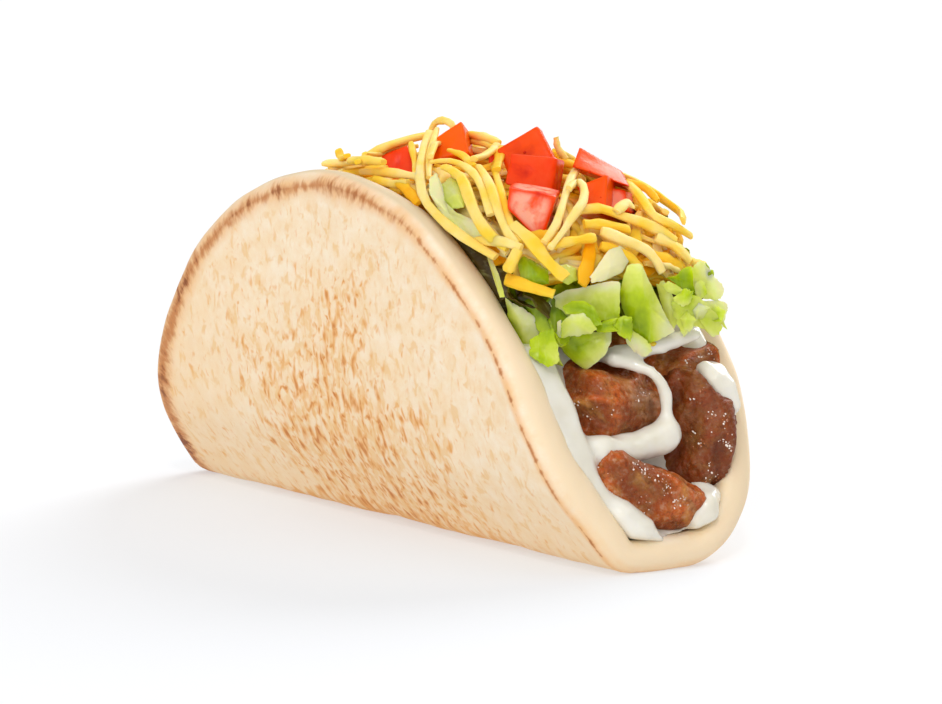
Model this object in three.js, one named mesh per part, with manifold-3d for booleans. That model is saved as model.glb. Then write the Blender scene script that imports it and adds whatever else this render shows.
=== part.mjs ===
// A steak taco: a thick round flatbread folded round steak strips, sour cream, lettuce,
// shredded cheese and diced tomato. It stands on its fold.
//
// Millimetres. +X runs along the fold, towards the mouth where most steak shows, +Y runs
// across it, from the near flap to the far flap, and +Z is up. The origin is the middle
// of the flat that the fold rests on.
import * as THREE from "three";
import { mergeVertices } from "three/addons/utils/BufferGeometryUtils.js";
import Module from "manifold-3d";

const wasm = await Module();
wasm.setup();

// Driving dimensions

const BREAD = { across: 156, along: 150, thickness: 6 };

// Each flap from the middle of the fold to its top edge, as stretches of bread:
// how long each is and through how many degrees it bends.
const NEAR_BENDS = [[6, 0], [4, 52], [12, 3], [10, 22], [13, 10], [15, 2], [18, 1]];
const FAR_BENDS = [[6, 0], [4, 20], [5, 18], [7, 21], [10, 16], [13, 12], [15, 5], [18, 2]];

// Where the bread's rows of facets end, counted from the middle of the fold, and how many
// rows lie up to each.
const BREAD_ROWS = [[6, 1], [10, 2], [15, 1], [22, 2], [32, 2], [45, 2], [60, 2], [70, 1]];
const BREAD_COLUMNS = 14;
const RIM_STEPS = 4;
const END_ARC_DEG = 13;

const GAP = 0.35; // between two pieces that touch
const FLATTEST = 0.03; // facets this near to one plane are joined

// The filling's layers
const CREAM_TOP = 44;
const CREAM_RECESS = 5;
const HEAP = {
  centreZ: 38, // its arch, seen from the side, is drawn round this height
  halfLength: 61,
  rise: 33,
  backShare: 0.66, // the heap's height at the back mouth, as a share of its front
  squareness: 3, // of its arch, and crown the same of its section: 2 is an ellipse
  crown: 2.3,
  edgeInset: 2, // its edge lies this far below the bread's rim
  girthAlong: 66, // millimetres of its surface to one step of along, and of across
  girthAcross: 25,
  overhang: { near: 0.35, far: 0.85 }, // how far the front spills out over the rim
};
const CORE = { columns: 12, rows: 6, thinnest: 1.5 };
const CHEESE = {
  depth: 6,
  reach: { near: 0.74, far: 0.83 },
  shreds: 60,
  width: 2.5,
  thickness: 1.7,
  shortest: 15,
  longest: 30,
  lift: [-0.5, 1.1], // of a shred's middle over the heap's surface
  attempts: 10,
};
const LETTUCE = { reach: 0.93, depth: 1, thickness: 1.2, rows: 2, columns: 5 };

const BREAD_COLOUR = "#ecd3a4";
const CREAM_COLOUR = "#f4f3ea";
const STEAK_COLOUR = "#6e3b22";
const LETTUCE_COLOUR = "#9cc748";
const CHEESE_COLOUR = "#f3c84a";
const TOMATO_COLOUR = "#e8401f";

// Small helpers

const GOLDEN_SHARE = 0.618034; // steps of this share of a whole never bunch up

const radians = THREE.MathUtils.degToRad;
const { lerp, smoothstep } = THREE.MathUtils;

// Numbers from 0 to 1 that are the same on every run.
function randomFrom(seed) {
  let state = seed;
  return () => {
    state = (state + 0x6d2b79f5) | 0;
    let t = Math.imul(state ^ (state >>> 15), 1 | state);
    t = (t + Math.imul(t ^ (t >>> 7), 61 | t)) ^ t;
    return ((t ^ (t >>> 14)) >>> 0) / 2 ** 32;
  };
}

// Moves each vertex of a geometry to the point that place(x, y, z) returns.
function shaped(geometry, place) {
  const position = geometry.getAttribute("position");
  for (let i = 0; i < position.count; i++) {
    const p = place(position.getX(i), position.getY(i), position.getZ(i));
    position.setXYZ(i, p.x, p.y, p.z);
  }
  return geometry;
}

// A block from -1 to 1 along each axis whose upper and lower faces are split into
// triangles alike, so that it keeps its thickness when it's bent.
function slabGeometry(columns, rows, layers = 1) {
  const slab = new THREE.BoxGeometry(2, 2, 2, columns, rows, layers);
  const { index } = slab;
  const { start, count } = slab.groups.at(-1);
  for (let i = start; i < start + count; i += 6) {
    const [a, b, d, c] = [0, 1, 2, 4].map((k) => index.getX(i + k));
    [a, b, c, a, c, d].forEach((vertex, k) => index.setX(i + k, vertex));
  }
  return slab;
}

function solidOf(geometry) {
  const bare = geometry.clone();
  bare.deleteAttribute("normal");
  bare.deleteAttribute("uv");
  const merged = mergeVertices(bare, 1e-4);
  return new wasm.Manifold(
    new wasm.Mesh({
      numProp: 3,
      vertProperties: new Float32Array(merged.getAttribute("position").array),
      triVerts: new Uint32Array(merged.index.array),
    }),
  );
}

function geometryOf(solid) {
  const { vertProperties, triVerts } = solid.getMesh();
  const geometry = new THREE.BufferGeometry();
  geometry.setAttribute("position", new THREE.BufferAttribute(new Float32Array(vertProperties), 3));
  geometry.setIndex(new THREE.BufferAttribute(new Uint32Array(triVerts), 1));
  geometry.computeVertexNormals();
  return geometry;
}

const union = (solids) => solids.reduce((whole, next) => whole.add(next));

// The largest body of a solid, without the scraps that a cut leaves.
function largestBody(solid) {
  const bodies = solid.decompose();
  return bodies.reduce((best, next) => (next.volume() > best.volume() ? next : best));
}

// The largest body of a solid, with the facets that lie in one plane joined.
function tidied(solid) {
  return largestBody(solid.asOriginal().simplify(FLATTEST));
}

// The folded bread

// The middle of the bread's thickness at a distance from the middle of the fold:
// how far out and up it is, and how steep.
function wallAt(bends, distance) {
  let [out, up, tilt, left] = [0, 0, 0, distance];
  bends.forEach(([run, degrees], i) => {
    const last = i === bends.length - 1;
    const step = last ? left : Math.min(run, left);
    const bend = radians(degrees) * Math.min(step / run, 1);
    const chord = bend === 0 ? step : ((2 * step) / bend) * Math.sin(bend / 2);
    out += chord * Math.cos(tilt + bend / 2);
    up += chord * Math.sin(tilt + bend / 2);
    tilt += bend;
    left -= step;
  });
  return { out, up, tilt };
}

// A point of the flat bread, x along the fold and s across it, once the bread is folded;
// height is measured outwards from the middle of its thickness.
function folded(x, s, height) {
  const { out, up, tilt } = wallAt(s < 0 ? NEAR_BENDS : FAR_BENDS, Math.abs(s));
  return new THREE.Vector3(
    x,
    Math.sign(s) * (out + height * Math.sin(tilt)),
    BREAD.thickness / 2 + up - height * Math.cos(tilt),
  );
}

function breadRows() {
  const rows = [0];
  for (const [end, count] of BREAD_ROWS) {
    const start = rows.at(-1);
    for (let i = 1; i <= count; i++) rows.push(lerp(start, end, i / count));
  }
  return rows;
}

// A flat disc with a round rim, folded. The box's three axes become the bread's length,
// its width and its thickness. grow makes it larger all round.
function breadGeometry(grow = 0) {
  const rows = breadRows();
  const rim = BREAD.thickness / 2;
  const halfAlong = BREAD.along / 2 - rim;
  const halfAcross = BREAD.across / 2 - rim;
  return shaped(slabGeometry(BREAD_COLUMNS, 2 * rows.length, RIM_STEPS), (u, v, t) => {
    const row = Math.round(v * rows.length);
    const atEnd = Math.abs(row) === rows.length;
    let [x, s] = [0, 0];
    if (atEnd) {
      const angle = radians(END_ARC_DEG) * u;
      x = halfAlong * Math.sin(angle);
      s = Math.sign(row) * halfAcross * Math.cos(angle);
    } else {
      s = Math.sign(row) * rows[Math.abs(row)];
      x = halfAlong * Math.sqrt(1 - (s / halfAcross) ** 2) * u;
    }
    const outward = new THREE.Vector2(0, 0);
    if (atEnd || Math.abs(u) === 1) outward.set(x / halfAlong ** 2, s / halfAcross ** 2).normalize();
    const swell = (rim + grow) * Math.cos((t * Math.PI) / 2);
    const height = -(rim + grow) * Math.sin((t * Math.PI) / 2);
    return folded(x + outward.x * swell, s + outward.y * swell, height);
  });
}

// The inner face of a flap, as a table of height and distance from the middle, with the
// gap that the filling keeps to it.
function innerWall(bends) {
  const table = [];
  for (let s = 0; s <= BREAD.across / 2; s += 0.5) {
    const { out, up, tilt } = wallAt(bends, s);
    const inset = BREAD.thickness / 2 + GAP;
    table.push({ s, z: BREAD.thickness / 2 + up + inset * Math.cos(tilt), y: out - inset * Math.sin(tilt) });
  }
  return table;
}
const NEAR_WALL = innerWall(NEAR_BENDS);
const FAR_WALL = innerWall(FAR_BENDS);

// The row of a wall's table at a height, between its two nearest entries.
function wallAtHeight(table, z) {
  const above = table.findIndex((row) => row.z >= z);
  if (above < 0) return table.at(-1);
  if (above === 0) return table[0];
  const [low, high] = [table[above - 1], table[above]];
  const share = (z - low.z) / (high.z - low.z || 1);
  return { s: lerp(low.s, high.s, share), z, y: lerp(low.y, high.y, share) };
}

// The y of a point of the pocket: across is -1 at the near flap and 1 at the far flap.
function pocketY(across, z) {
  return across * wallAtHeight(across < 0 ? NEAR_WALL : FAR_WALL, z).y;
}

// How far along the fold the bread's rim lies at a height.
function rimX(z) {
  const { s } = wallAtHeight(NEAR_WALL, z);
  return (BREAD.along / 2) * Math.sqrt(Math.max(0, 1 - (s / (BREAD.across / 2)) ** 2));
}

// The heap above the bread

// A point of the heap's surface: along runs from -1 at the back mouth to 1 at the front
// mouth, across from -1 at the near flap to 1 at the far flap, and depth goes inwards.
function heapPoint(along, across, depth = 0) {
  const power = 2 / HEAP.squareness;
  const angle = (Math.PI / 2) * (1 - along);
  const crestX = HEAP.halfLength * Math.sign(along) * Math.abs(Math.cos(angle)) ** power;
  const drop = lerp(1, HEAP.backShare, smoothstep(-crestX, 4, 50));
  const crestZ = HEAP.centreZ + HEAP.rise * drop * Math.abs(Math.sin(angle)) ** power;

  const isNear = across < 0;
  const table = isNear ? NEAR_WALL : FAR_WALL;
  const lowest = Math.asin(wallAtHeight(table, HEAP.centreZ).s / (BREAD.across / 2));
  const rimAngle = Math.PI / 2 - (Math.PI / 2 - lowest) * along;
  const edgeS = (BREAD.across / 2 - HEAP.edgeInset) * Math.sin(rimAngle);
  const overhang = smoothstep(crestX, 12, 52) * (isNear ? HEAP.overhang.near : HEAP.overhang.far);
  const edgeX = lerp((BREAD.along / 2 - HEAP.edgeInset) * Math.cos(rimAngle), crestX, overhang);
  const edgeZ = lerp(table.find((row) => row.s >= edgeS).z, crestZ, overhang / 2);

  const crown = Math.sqrt(1 - Math.abs(across) ** lerp(HEAP.crown, 2 * HEAP.crown, overhang));
  let [x, z] = [lerp(edgeX, crestX, crown), lerp(edgeZ, crestZ, crown)];
  const left = 1 - depth / Math.hypot(x, z - HEAP.centreZ);
  x *= left;
  z = HEAP.centreZ + (z - HEAP.centreZ) * left;
  return new THREE.Vector3(x, pocketY(across, z), z);
}

// The cheese's core: the outer layer of the heap.
function cheeseCore() {
  return shaped(slabGeometry(CORE.columns, CORE.rows), (u, v, t) => {
    const point = heapPoint(u * cheeseReach(v), v, t > 0 ? 0 : CHEESE.depth - GAP);
    point.z = Math.max(point.z, CREAM_TOP + 4 * CORE.thinnest);
    return point;
  });
}

function cheeseReach(across) {
  return lerp(CHEESE.reach.near, CHEESE.reach.far, (across + 1) / 2);
}

// The lettuce's core fills the pocket between the sour cream and the cheese, and comes
// further out than the cheese at both mouths. Its own end columns make that slope.
function lettuceCore() {
  const columns = CORE.columns + 2;
  const bottom = CREAM_TOP + GAP;
  return shaped(slabGeometry(columns, CORE.rows), (u, v, t) => {
    const atEnd = Math.abs(u) === 1;
    const beyondCheese = cheeseReach(v) + 0.015;
    const along = atEnd ? u * LETTUCE.reach : ((u * columns) / CORE.columns) * beyondCheese;
    const top = heapPoint(along, v, atEnd ? LETTUCE.depth : CHEESE.depth + GAP);
    const z = Math.max(top.z, bottom + CORE.thinnest);
    const height = t > 0 ? z : bottom;
    return new THREE.Vector3(top.x, pocketY(v, height), height);
  });
}

// The sour cream's core fills the pocket up to its top, short of the two mouths.
function creamCore() {
  const floor = BREAD.thickness + GAP;
  return shaped(slabGeometry(6, 4, 8), (u, v, t) => {
    const z = lerp(floor, CREAM_TOP, (t + 1) / 2);
    return new THREE.Vector3(u * (rimX(z) - CREAM_RECESS), pocketY(v, z), z);
  });
}

// The space between the flaps, endless along the fold, that dollops are trimmed to.
function pocketPrism() {
  const [low, high] = [BREAD.thickness + GAP, CREAM_TOP];
  return shaped(slabGeometry(1, 1, 12), (u, v, t) => {
    const z = lerp(low, high, (t + 1) / 2);
    return new THREE.Vector3(u * BREAD.along, pocketY(v, z), z);
  });
}

// Pieces of filling

// A lump with soft corners. half holds its half sizes, corners is 1 for an ellipsoid and
// less for a boxier lump, and the lumpiness is a share of its size.
function lumpGeometry(lump, grow = 0) {
  const { centre, half, turn = [0, 0, 0], corners = 0.7, lumpiness = 0.09, detail = 2 } = lump;
  const random = randomFrom(lump.seed);
  const waves = Array.from({ length: 5 }, () => ({
    direction: new THREE.Vector3(random() - 0.5, random() - 0.5, random() - 0.5).normalize(),
    pace: 2.5 + 3.5 * random(),
    phase: 2 * Math.PI * random(),
  }));
  const rotation = new THREE.Euler(...turn.map(radians));
  const softened = (value) => Math.sign(value) * Math.abs(value) ** corners;
  return shaped(new THREE.IcosahedronGeometry(1, detail), (x, y, z) => {
    const unit = new THREE.Vector3(x, y, z).normalize();
    const swelling = waves.reduce((sum, w) => sum + Math.sin(w.pace * unit.dot(w.direction) + w.phase), 0);
    const size = 1 + (lumpiness * swelling) / 2;
    const point = new THREE.Vector3(...unit.toArray().map(softened)).multiplyScalar(size);
    point.multiply(new THREE.Vector3(half[0] + grow, half[1] + grow, half[2] + grow));
    return point.applyEuler(rotation).add(new THREE.Vector3(...centre));
  });
}

// Strips of steak that show at the mouths: the middle, the half sizes and the turn.
const STEAK = [
  { name: "front_upper", centre: [49, -1, 30.2], half: [13, 11.4, 7.8], turn: [-3, 8, 4], seed: 11 },
  { name: "front_lower", centre: [58.5, 0.8, 14.8], half: [12, 11.6, 5.6], turn: [-32, 6, -6], seed: 23 },
  { name: "front_far", centre: [54, 15.6, 23.6], half: [12, 7.2, 11.8], turn: [-8, 4, 10], seed: 37 },
  { name: "front_top", centre: [46, 17.4, 38.2], half: [12, 8, 3], turn: [12, 8, 0], seed: 41 },
  { name: "front_small", centre: [51.5, 3.5, 40.2], half: [6, 4.5, 2.6], turn: [0, 20, 0], seed: 47 },
  { name: "back_upper", centre: [-48, 5, 32], half: [13, 11, 6.8], turn: [-6, -8, -6], seed: 53 },
  { name: "back_lower", centre: [-58, 4.5, 14.6], half: [12, 10, 5.4], turn: [24, -4, 8], seed: 61 },
  { name: "back_near", centre: [-54, -12, 25], half: [12, 5.4, 9.8], turn: [10, -4, 8], seed: 67 },
];

// Dollops of sour cream between and round the steak: the middle and the half sizes.
const DOLLOPS = [
  [[55, -16.5, 34], [6, 3.6, 9]],
  [[61.5, -12.5, 21], [6.5, 3.6, 8]],
  [[61.5, 0.5, 22.4], [7, 12, 3]],
  [[59, 9.6, 32], [5, 2.4, 6]],
  [[53.5, 4, 38.6], [5, 9, 2.6]],
  [[67, -4.5, 9.2], [5, 7, 2.8]],
  [[65, 11.5, 12], [5.5, 5, 4.5]],
  [[56, 21.5, 32], [5, 3, 8]],
  [[-57, 16.5, 33], [6, 4, 8]],
  [[-62, 3, 23], [6.5, 11, 3.6]],
  [[-57, -8, 35.5], [5, 7, 4]],
  [[-65.5, -6, 12], [5.5, 5, 4]],
  [[-66.5, 12, 12.5], [5, 4, 3.6]],
];

function dollopGeometry([centre, half], index) {
  return lumpGeometry({ centre, half, corners: 0.9, lumpiness: 0.05, detail: 1, seed: 300 + index });
}

// Diced tomato in the cheese: the middle, the half sizes and the turn of each.
const TOMATO = [
  { centre: [-6, -4, 67.6], half: [4.4, 4.2, 4.2], turn: [10, 25, 20] },
  { centre: [5.5, 0, 71.2], half: [4.4, 4, 4.2], turn: [14, 40, 12] },
  { centre: [25.5, 4.5, 72], half: [4.8, 4.4, 4.2], turn: [8, 24, 40] },
  { centre: [35.5, -3, 68.4], half: [4, 4.5, 4.2], turn: [6, 22, -34] },
  { centre: [46.6, -10.6, 62.8], half: [4, 4.4, 4.2], turn: [38, 30, -30] },
  { centre: [39.5, 10.5, 69.6], half: [2.6, 5.4, 3.6], turn: [10, 40, 10] },
  { centre: [45.5, 4, 65.6], half: [3.8, 4, 4.1], turn: [12, 34, 30] },
  { centre: [46, 12.6, 64], half: [3.2, 3.2, 3.2], turn: [30, 20, 12] },
  { centre: [11, 11.5, 66.4], half: [4.4, 4.5, 4.2], turn: [-30, 14, 24] },
  { centre: [-25, 7, 64], half: [4.4, 4.2, 4.2], turn: [-14, -28, 30] },
];

function tomatoGeometry({ centre, half, turn }, grow = 0) {
  const rotation = new THREE.Euler(...turn.map(radians));
  return shaped(slabGeometry(2, 2, 2), (x, y, z) => {
    const middles = 3 - Math.abs(x) - Math.abs(y) - Math.abs(z);
    const point = new THREE.Vector3(x, y, z).multiplyScalar(1 + 0.06 * middles);
    point.multiply(new THREE.Vector3(half[0] + grow, half[1] + grow, half[2] + grow));
    return point.applyEuler(rotation).add(new THREE.Vector3(...centre));
  });
}

// A torn leaf: a thin sheet, curled along its length and ruffled along its edge.
function leafGeometry({ centre, normal, spin, length, width, curl, seed }, grow = 0) {
  const random = randomFrom(seed);
  const phase = 2 * Math.PI * random();
  const ruffle = 0.8 + 1.2 * random();
  const upright = new THREE.Vector3(0, 0, 1);
  const facing = new THREE.Quaternion().setFromUnitVectors(upright, normal.clone().normalize());
  const turned = new THREE.Quaternion().setFromAxisAngle(upright, spin);
  return shaped(slabGeometry(4, 2), (u, v, t) => {
    const breadth = (width / 2) * (1 - 0.35 * u * u) * (1 + 0.12 * Math.sin(4 * u + phase)) + grow;
    const radius = length / 2 / curl;
    const angle = u * (curl + grow / radius);
    const wave = ruffle * v * Math.sin(3.2 * u + 2 * v + phase);
    const height = radius * (Math.cos(angle) - 1) + wave + t * (LETTUCE.thickness / 2 + grow);
    const point = new THREE.Vector3(radius * Math.sin(angle), v * breadth, height);
    return point.applyQuaternion(turned).applyQuaternion(facing).add(centre);
  });
}

// The leaves that hang out of the two mouths, in front of the sour cream's top edge.
function hangingLeaves() {
  const random = randomFrom(55);
  const leaves = [];
  const { rows, columns } = LETTUCE;
  for (const end of [1, -1]) {
    for (let i = 0; i < rows * columns; i++) {
      const row = Math.floor(i / columns);
      const share = ((i % columns) + 0.5 * (row % 2) + 0.4 * (random() - 0.5)) / (columns - 0.5);
      const across = Math.min(lerp(end > 0 ? -0.9 : -0.4, 1, share), 1);
      const centre = heapPoint(end * (LETTUCE.reach - 0.07 * row), across, 1.5 - 3 * random());
      centre.z = lerp(41, 43, (end + 1) / 2) + 5 * row + 2 * random();
      leaves.push({
        centre,
        normal: new THREE.Vector3(end * (0.6 + 0.5 * random()), 1.1 * (random() - 0.5), 0.1 + 0.5 * random()),
        spin: Math.PI / 2 + 1.4 * (random() - 0.5),
        length: 12 + 6 * random(),
        width: 9 + 5 * random(),
        curl: 0.4 + 0.8 * random(),
        seed: 100 + i + 50 * end,
      });
    }
  }
  return leaves;
}

// A shred of cheese that lies along the heap, bent over it.
function shredGeometry({ along, across, heading, length, lift, bow, roll }) {
  const stations = 3;
  const line = [];
  for (let i = 0; i <= stations; i++) {
    const t = (2 * i) / stations - 1;
    const sideways = bow * (t * t - 0.5);
    const du = ((t * length * Math.cos(heading)) / 2 - sideways * Math.sin(heading)) / HEAP.girthAlong;
    const dw = ((t * length * Math.sin(heading)) / 2 + sideways * Math.cos(heading)) / HEAP.girthAcross;
    const edge = THREE.MathUtils.clamp(across + dw, -0.96, 0.96);
    line.push(heapPoint(THREE.MathUtils.clamp(along + du, -0.92, 0.92), edge, -lift));
  }
  const curve = new THREE.CatmullRomCurve3(line);
  return shaped(slabGeometry(stations, 1), (u, v, t) => {
    const share = (u + 1) / 2;
    const tangent = curve.getTangent(share);
    const point = curve.getPoint(share);
    const up = new THREE.Vector3(point.x, 0, point.z - HEAP.centreZ).normalize();
    const side = new THREE.Vector3().crossVectors(up, tangent).normalize();
    const top = new THREE.Vector3().crossVectors(tangent, side);
    const [a, b] = [(v * CHEESE.width) / 2, (t * CHEESE.thickness) / 2];
    return point
      .addScaledVector(side, a * Math.cos(roll) - b * Math.sin(roll))
      .addScaledVector(top, a * Math.sin(roll) + b * Math.cos(roll));
  });
}

// Shreds spread evenly over the heap. One that would cross another piece is drawn again
// nearby, shorter each time, and skipped in the end.
function cheeseShreds(obstacles, core) {
  const random = randomFrom(19);
  const between = (low, high) => lerp(low, high, random());
  const kept = [];
  for (let i = 0; i < CHEESE.shreds; i++) {
    for (let attempt = 0; attempt < CHEESE.attempts; attempt++) {
      const stray = attempt / CHEESE.attempts;
      const fromMiddle = lerp(-1, 1, (i + 0.5) / CHEESE.shreds) + between(-0.2, 0.2) * stray;
      const across = lerp(-0.84, 0.84, (i * GOLDEN_SHARE + between(-0.3, 0.3) * stray + 1) % 1);
      const shape = shredGeometry({
        along: Math.sign(fromMiddle) * Math.abs(fromMiddle) ** 1.5 * (cheeseReach(across) - 0.04),
        across,
        heading: between(0, 2 * Math.PI),
        length: between(CHEESE.shortest, CHEESE.longest) * (1 - stray / 2),
        lift: between(...CHEESE.lift),
        bow: between(-4.5, 4.5),
        roll: between(-0.3, 0.3),
      });
      const shred = solidOf(shape);
      const clear = obstacles.every((obstacle) => shred.intersect(obstacle).isEmpty());
      if (clear && !shred.intersect(core).isEmpty()) {
        kept.push(shred);
        break;
      }
    }
  }
  return kept;
}

// Assembly

function meshOf(name, solid, colour, roughness) {
  const material = new THREE.MeshStandardMaterial({ color: colour, roughness, metalness: 0 });
  const mesh = new THREE.Mesh(geometryOf(solid), material);
  mesh.name = name;
  return mesh;
}

const breadCutter = solidOf(breadGeometry(GAP));

const steaks = [];
const steakCutters = [];
for (const piece of STEAK) {
  const whole = solidOf(lumpGeometry(piece)).subtract(breadCutter);
  steaks.push(largestBody(steakCutters.reduce((rest, cutter) => rest.subtract(cutter), whole)));
  steakCutters.push(solidOf(lumpGeometry(piece, GAP)));
}
const steakCutter = union(steakCutters);

const pocket = solidOf(pocketPrism());
const dollops = union(DOLLOPS.map((dollop, i) => solidOf(dollopGeometry(dollop, i))));
const cream = tidied(
  dollops.add(solidOf(creamCore())).intersect(pocket).subtract(steakCutter).subtract(breadCutter),
);

const tomatoes = [];
const tomatoCutters = [];
for (const piece of TOMATO) {
  const whole = solidOf(tomatoGeometry(piece));
  tomatoes.push(largestBody(tomatoCutters.reduce((rest, cutter) => rest.subtract(cutter), whole)));
  tomatoCutters.push(solidOf(tomatoGeometry(piece, GAP)));
}
const tomatoCutter = union(tomatoCutters);

const leafObstacles = [breadCutter, steakCutter, cream, tomatoCutter];
const keptLeaves = hangingLeaves().filter((leaf) => {
  const solid = solidOf(leafGeometry(leaf, GAP));
  return leafObstacles.every((obstacle) => solid.intersect(obstacle).isEmpty());
});
const leafCutter = union(keptLeaves.map((leaf) => solidOf(leafGeometry(leaf, 3 * GAP))));
const lettuceSolid = solidOf(lettuceCore()).subtract(breadCutter).subtract(tomatoCutter);
const keptLeafSolids = keptLeaves.map((leaf) => solidOf(leafGeometry(leaf)));
const lettuce = tidied(union([lettuceSolid, ...keptLeafSolids]));

const cheeseSolid = largestBody(
  solidOf(cheeseCore()).subtract(tomatoCutter).subtract(breadCutter).subtract(leafCutter),
);
const shreds = cheeseShreds([tomatoCutter, breadCutter, leafCutter, lettuce], cheeseSolid);
const cheese = tidied(union([cheeseSolid, ...shreds]));

const taco = new THREE.Group();
taco.add(meshOf("flatbread", solidOf(breadGeometry()).simplify(FLATTEST / 3), BREAD_COLOUR, 0.8));
taco.add(meshOf("sour_cream", cream, CREAM_COLOUR, 0.25));
STEAK.forEach(({ name }, i) => taco.add(meshOf(`steak_${name}`, steaks[i], STEAK_COLOUR, 0.35)));
taco.add(meshOf("lettuce", lettuce, LETTUCE_COLOUR, 0.45));
taco.add(meshOf("cheese", cheese, CHEESE_COLOUR, 0.5));
tomatoes.forEach((solid, i) => taco.add(meshOf(`tomato_${i + 1}`, solid, TOMATO_COLOUR, 0.25)));

export default taco;
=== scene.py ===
"""A steak taco: thick flatbread folded round steak, sour cream, lettuce, cheese and tomato.

Sizes are millimetres while a piece is modelled, and a finished piece is in metres. +X runs
along the fold to the front mouth, +Y across it to the far flap, and +Z is up. The origin is
the middle of the flat that the fold rests on.
"""

from __future__ import annotations

import logging
import math
import random
from collections.abc import Callable, Iterator, Sequence
from dataclasses import dataclass, field
from enum import Enum
from functools import cached_property

import bmesh
import bpy
from mathutils import Euler, Matrix, Quaternion, Vector, noise
from mathutils.bvhtree import BVHTree
from mathutils.kdtree import KDTree

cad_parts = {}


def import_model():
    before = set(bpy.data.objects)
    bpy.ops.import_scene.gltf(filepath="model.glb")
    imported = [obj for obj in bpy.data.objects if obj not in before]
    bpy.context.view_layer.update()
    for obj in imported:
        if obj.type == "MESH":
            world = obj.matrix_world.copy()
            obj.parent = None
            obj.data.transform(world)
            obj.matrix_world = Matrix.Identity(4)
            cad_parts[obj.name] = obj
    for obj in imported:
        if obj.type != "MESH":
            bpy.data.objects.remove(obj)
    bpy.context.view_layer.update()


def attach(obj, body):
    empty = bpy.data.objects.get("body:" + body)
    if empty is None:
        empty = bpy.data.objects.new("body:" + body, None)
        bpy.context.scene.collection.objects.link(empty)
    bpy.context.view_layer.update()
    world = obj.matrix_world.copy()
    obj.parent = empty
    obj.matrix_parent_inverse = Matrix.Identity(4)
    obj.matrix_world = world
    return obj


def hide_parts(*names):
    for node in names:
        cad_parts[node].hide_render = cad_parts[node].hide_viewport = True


LOG = logging.getLogger("taco")

MM = 0.001
UP = Vector((0.0, 0.0, 1.0))

Colour = tuple[float, float, float, float]
Point = tuple[float, float, float]
Pair = tuple[float, float]
Form = bmesh.types.BMesh
Piece = bpy.types.Object
Material = bpy.types.Material
Socket = bpy.types.NodeSocket
Setting = float | str | Sequence[float] | bpy.types.NodeSocket  # a text is a colour as #rrggbb


# Small helpers


def lerp(a: float, b: float, share: float) -> float:
    """Return the value that lies a share of the way from a to b."""
    return a + (b - a) * share


def clamp(value: float, low: float, high: float) -> float:
    """Return the value, kept between low and high."""
    return max(low, min(high, value))


def eased(value: float, low: float, high: float) -> float:
    """Return 0 below low and 1 above high, with a smooth rise between them."""
    share = clamp((value - low) / (high - low), 0.0, 1.0)
    return share * share * (3 - 2 * share)


def tone(code: str) -> Colour:
    """Turn a colour as it looks on screen into the linear colour that a shader takes.

    Args:
        code: The colour as #rrggbb.

    Returns:
        Its linear red, green, blue and alpha.
    """
    parts = [int(code[i : i + 2], 16) / 255 for i in (1, 3, 5)]
    red, green, blue = (p / 12.92 if p <= 0.04045 else ((p + 0.055) / 1.055) ** 2.4 for p in parts)
    return (red, green, blue, 1.0)


def waviness(place: Vector, size: float, seed: float = 0.0) -> float:
    """Return smooth noise from about -1 to 1, with swellings size millimetres wide."""
    return noise.noise(place / size + Vector((seed, 1.7 * seed, 2.3 * seed)))


class Slot(Enum):
    """The material slots."""

    BREAD = "bread"
    CREAM = "cream"
    STEAK = "steak"
    LETTUCE = "lettuce"
    CHEESE = "cheese"
    TOMATO = "tomato"


def finished(
    name: str, form: Form, material: Material, slot: Slot, replaces: Sequence[str] = (),
    sharp_angle: float = 180.0,
) -> Piece:
    """Turn a modelled form into a piece of the taco.

    Args:
        name: The piece's name.
        form: Its mesh in millimetres, which is used up.
        material: Its finish.
        slot: Not used.
        replaces: The CAD nodes that it stands for.
        sharp_angle: Edges that turn more degrees than this stay sharp.

    Returns:
        The piece, in metres, with its place in its mesh.
    """
    bmesh.ops.scale(form, vec=(MM, MM, MM), verts=form.verts)
    mesh = bpy.data.meshes.new(name)
    form.to_mesh(mesh)
    form.free()
    mesh.materials.append(material)
    for polygon in mesh.polygons:
        polygon.use_smooth = True
    if sharp_angle < 180.0:
        mesh.set_sharp_from_angle(angle=math.radians(sharp_angle))
    piece = bpy.data.objects.new(name, mesh)
    bpy.context.scene.collection.objects.link(piece)
    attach(piece, "root")
    if replaces:
        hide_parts(*replaces)
    LOG.info("%s: %d faces", name, len(mesh.polygons))
    return piece


def fine_cube(cuts: int) -> Form:
    """Model a cube that reaches from -1 to 1, with each edge cut so many times."""
    form = bmesh.new()
    bmesh.ops.create_cube(form, size=2.0)
    bmesh.ops.subdivide_edges(form, edges=form.edges, cuts=cuts, use_grid_fill=True)
    return form


def standing_on(place: Vector, normal: Vector) -> Matrix:
    """Return the turn and the move that stand a shape on a surface, at a place of it."""
    return Matrix.Translation(place) @ UP.rotation_difference(normal).to_matrix().to_4x4()


def apply_modifiers(piece: Piece) -> None:
    """Replace a piece's mesh by what its modifiers make of it."""
    graph = bpy.context.evaluated_depsgraph_get()
    mesh = bpy.data.meshes.new_from_object(piece.evaluated_get(graph))
    piece.modifiers.clear()
    piece.data = mesh


# Finishes


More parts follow.
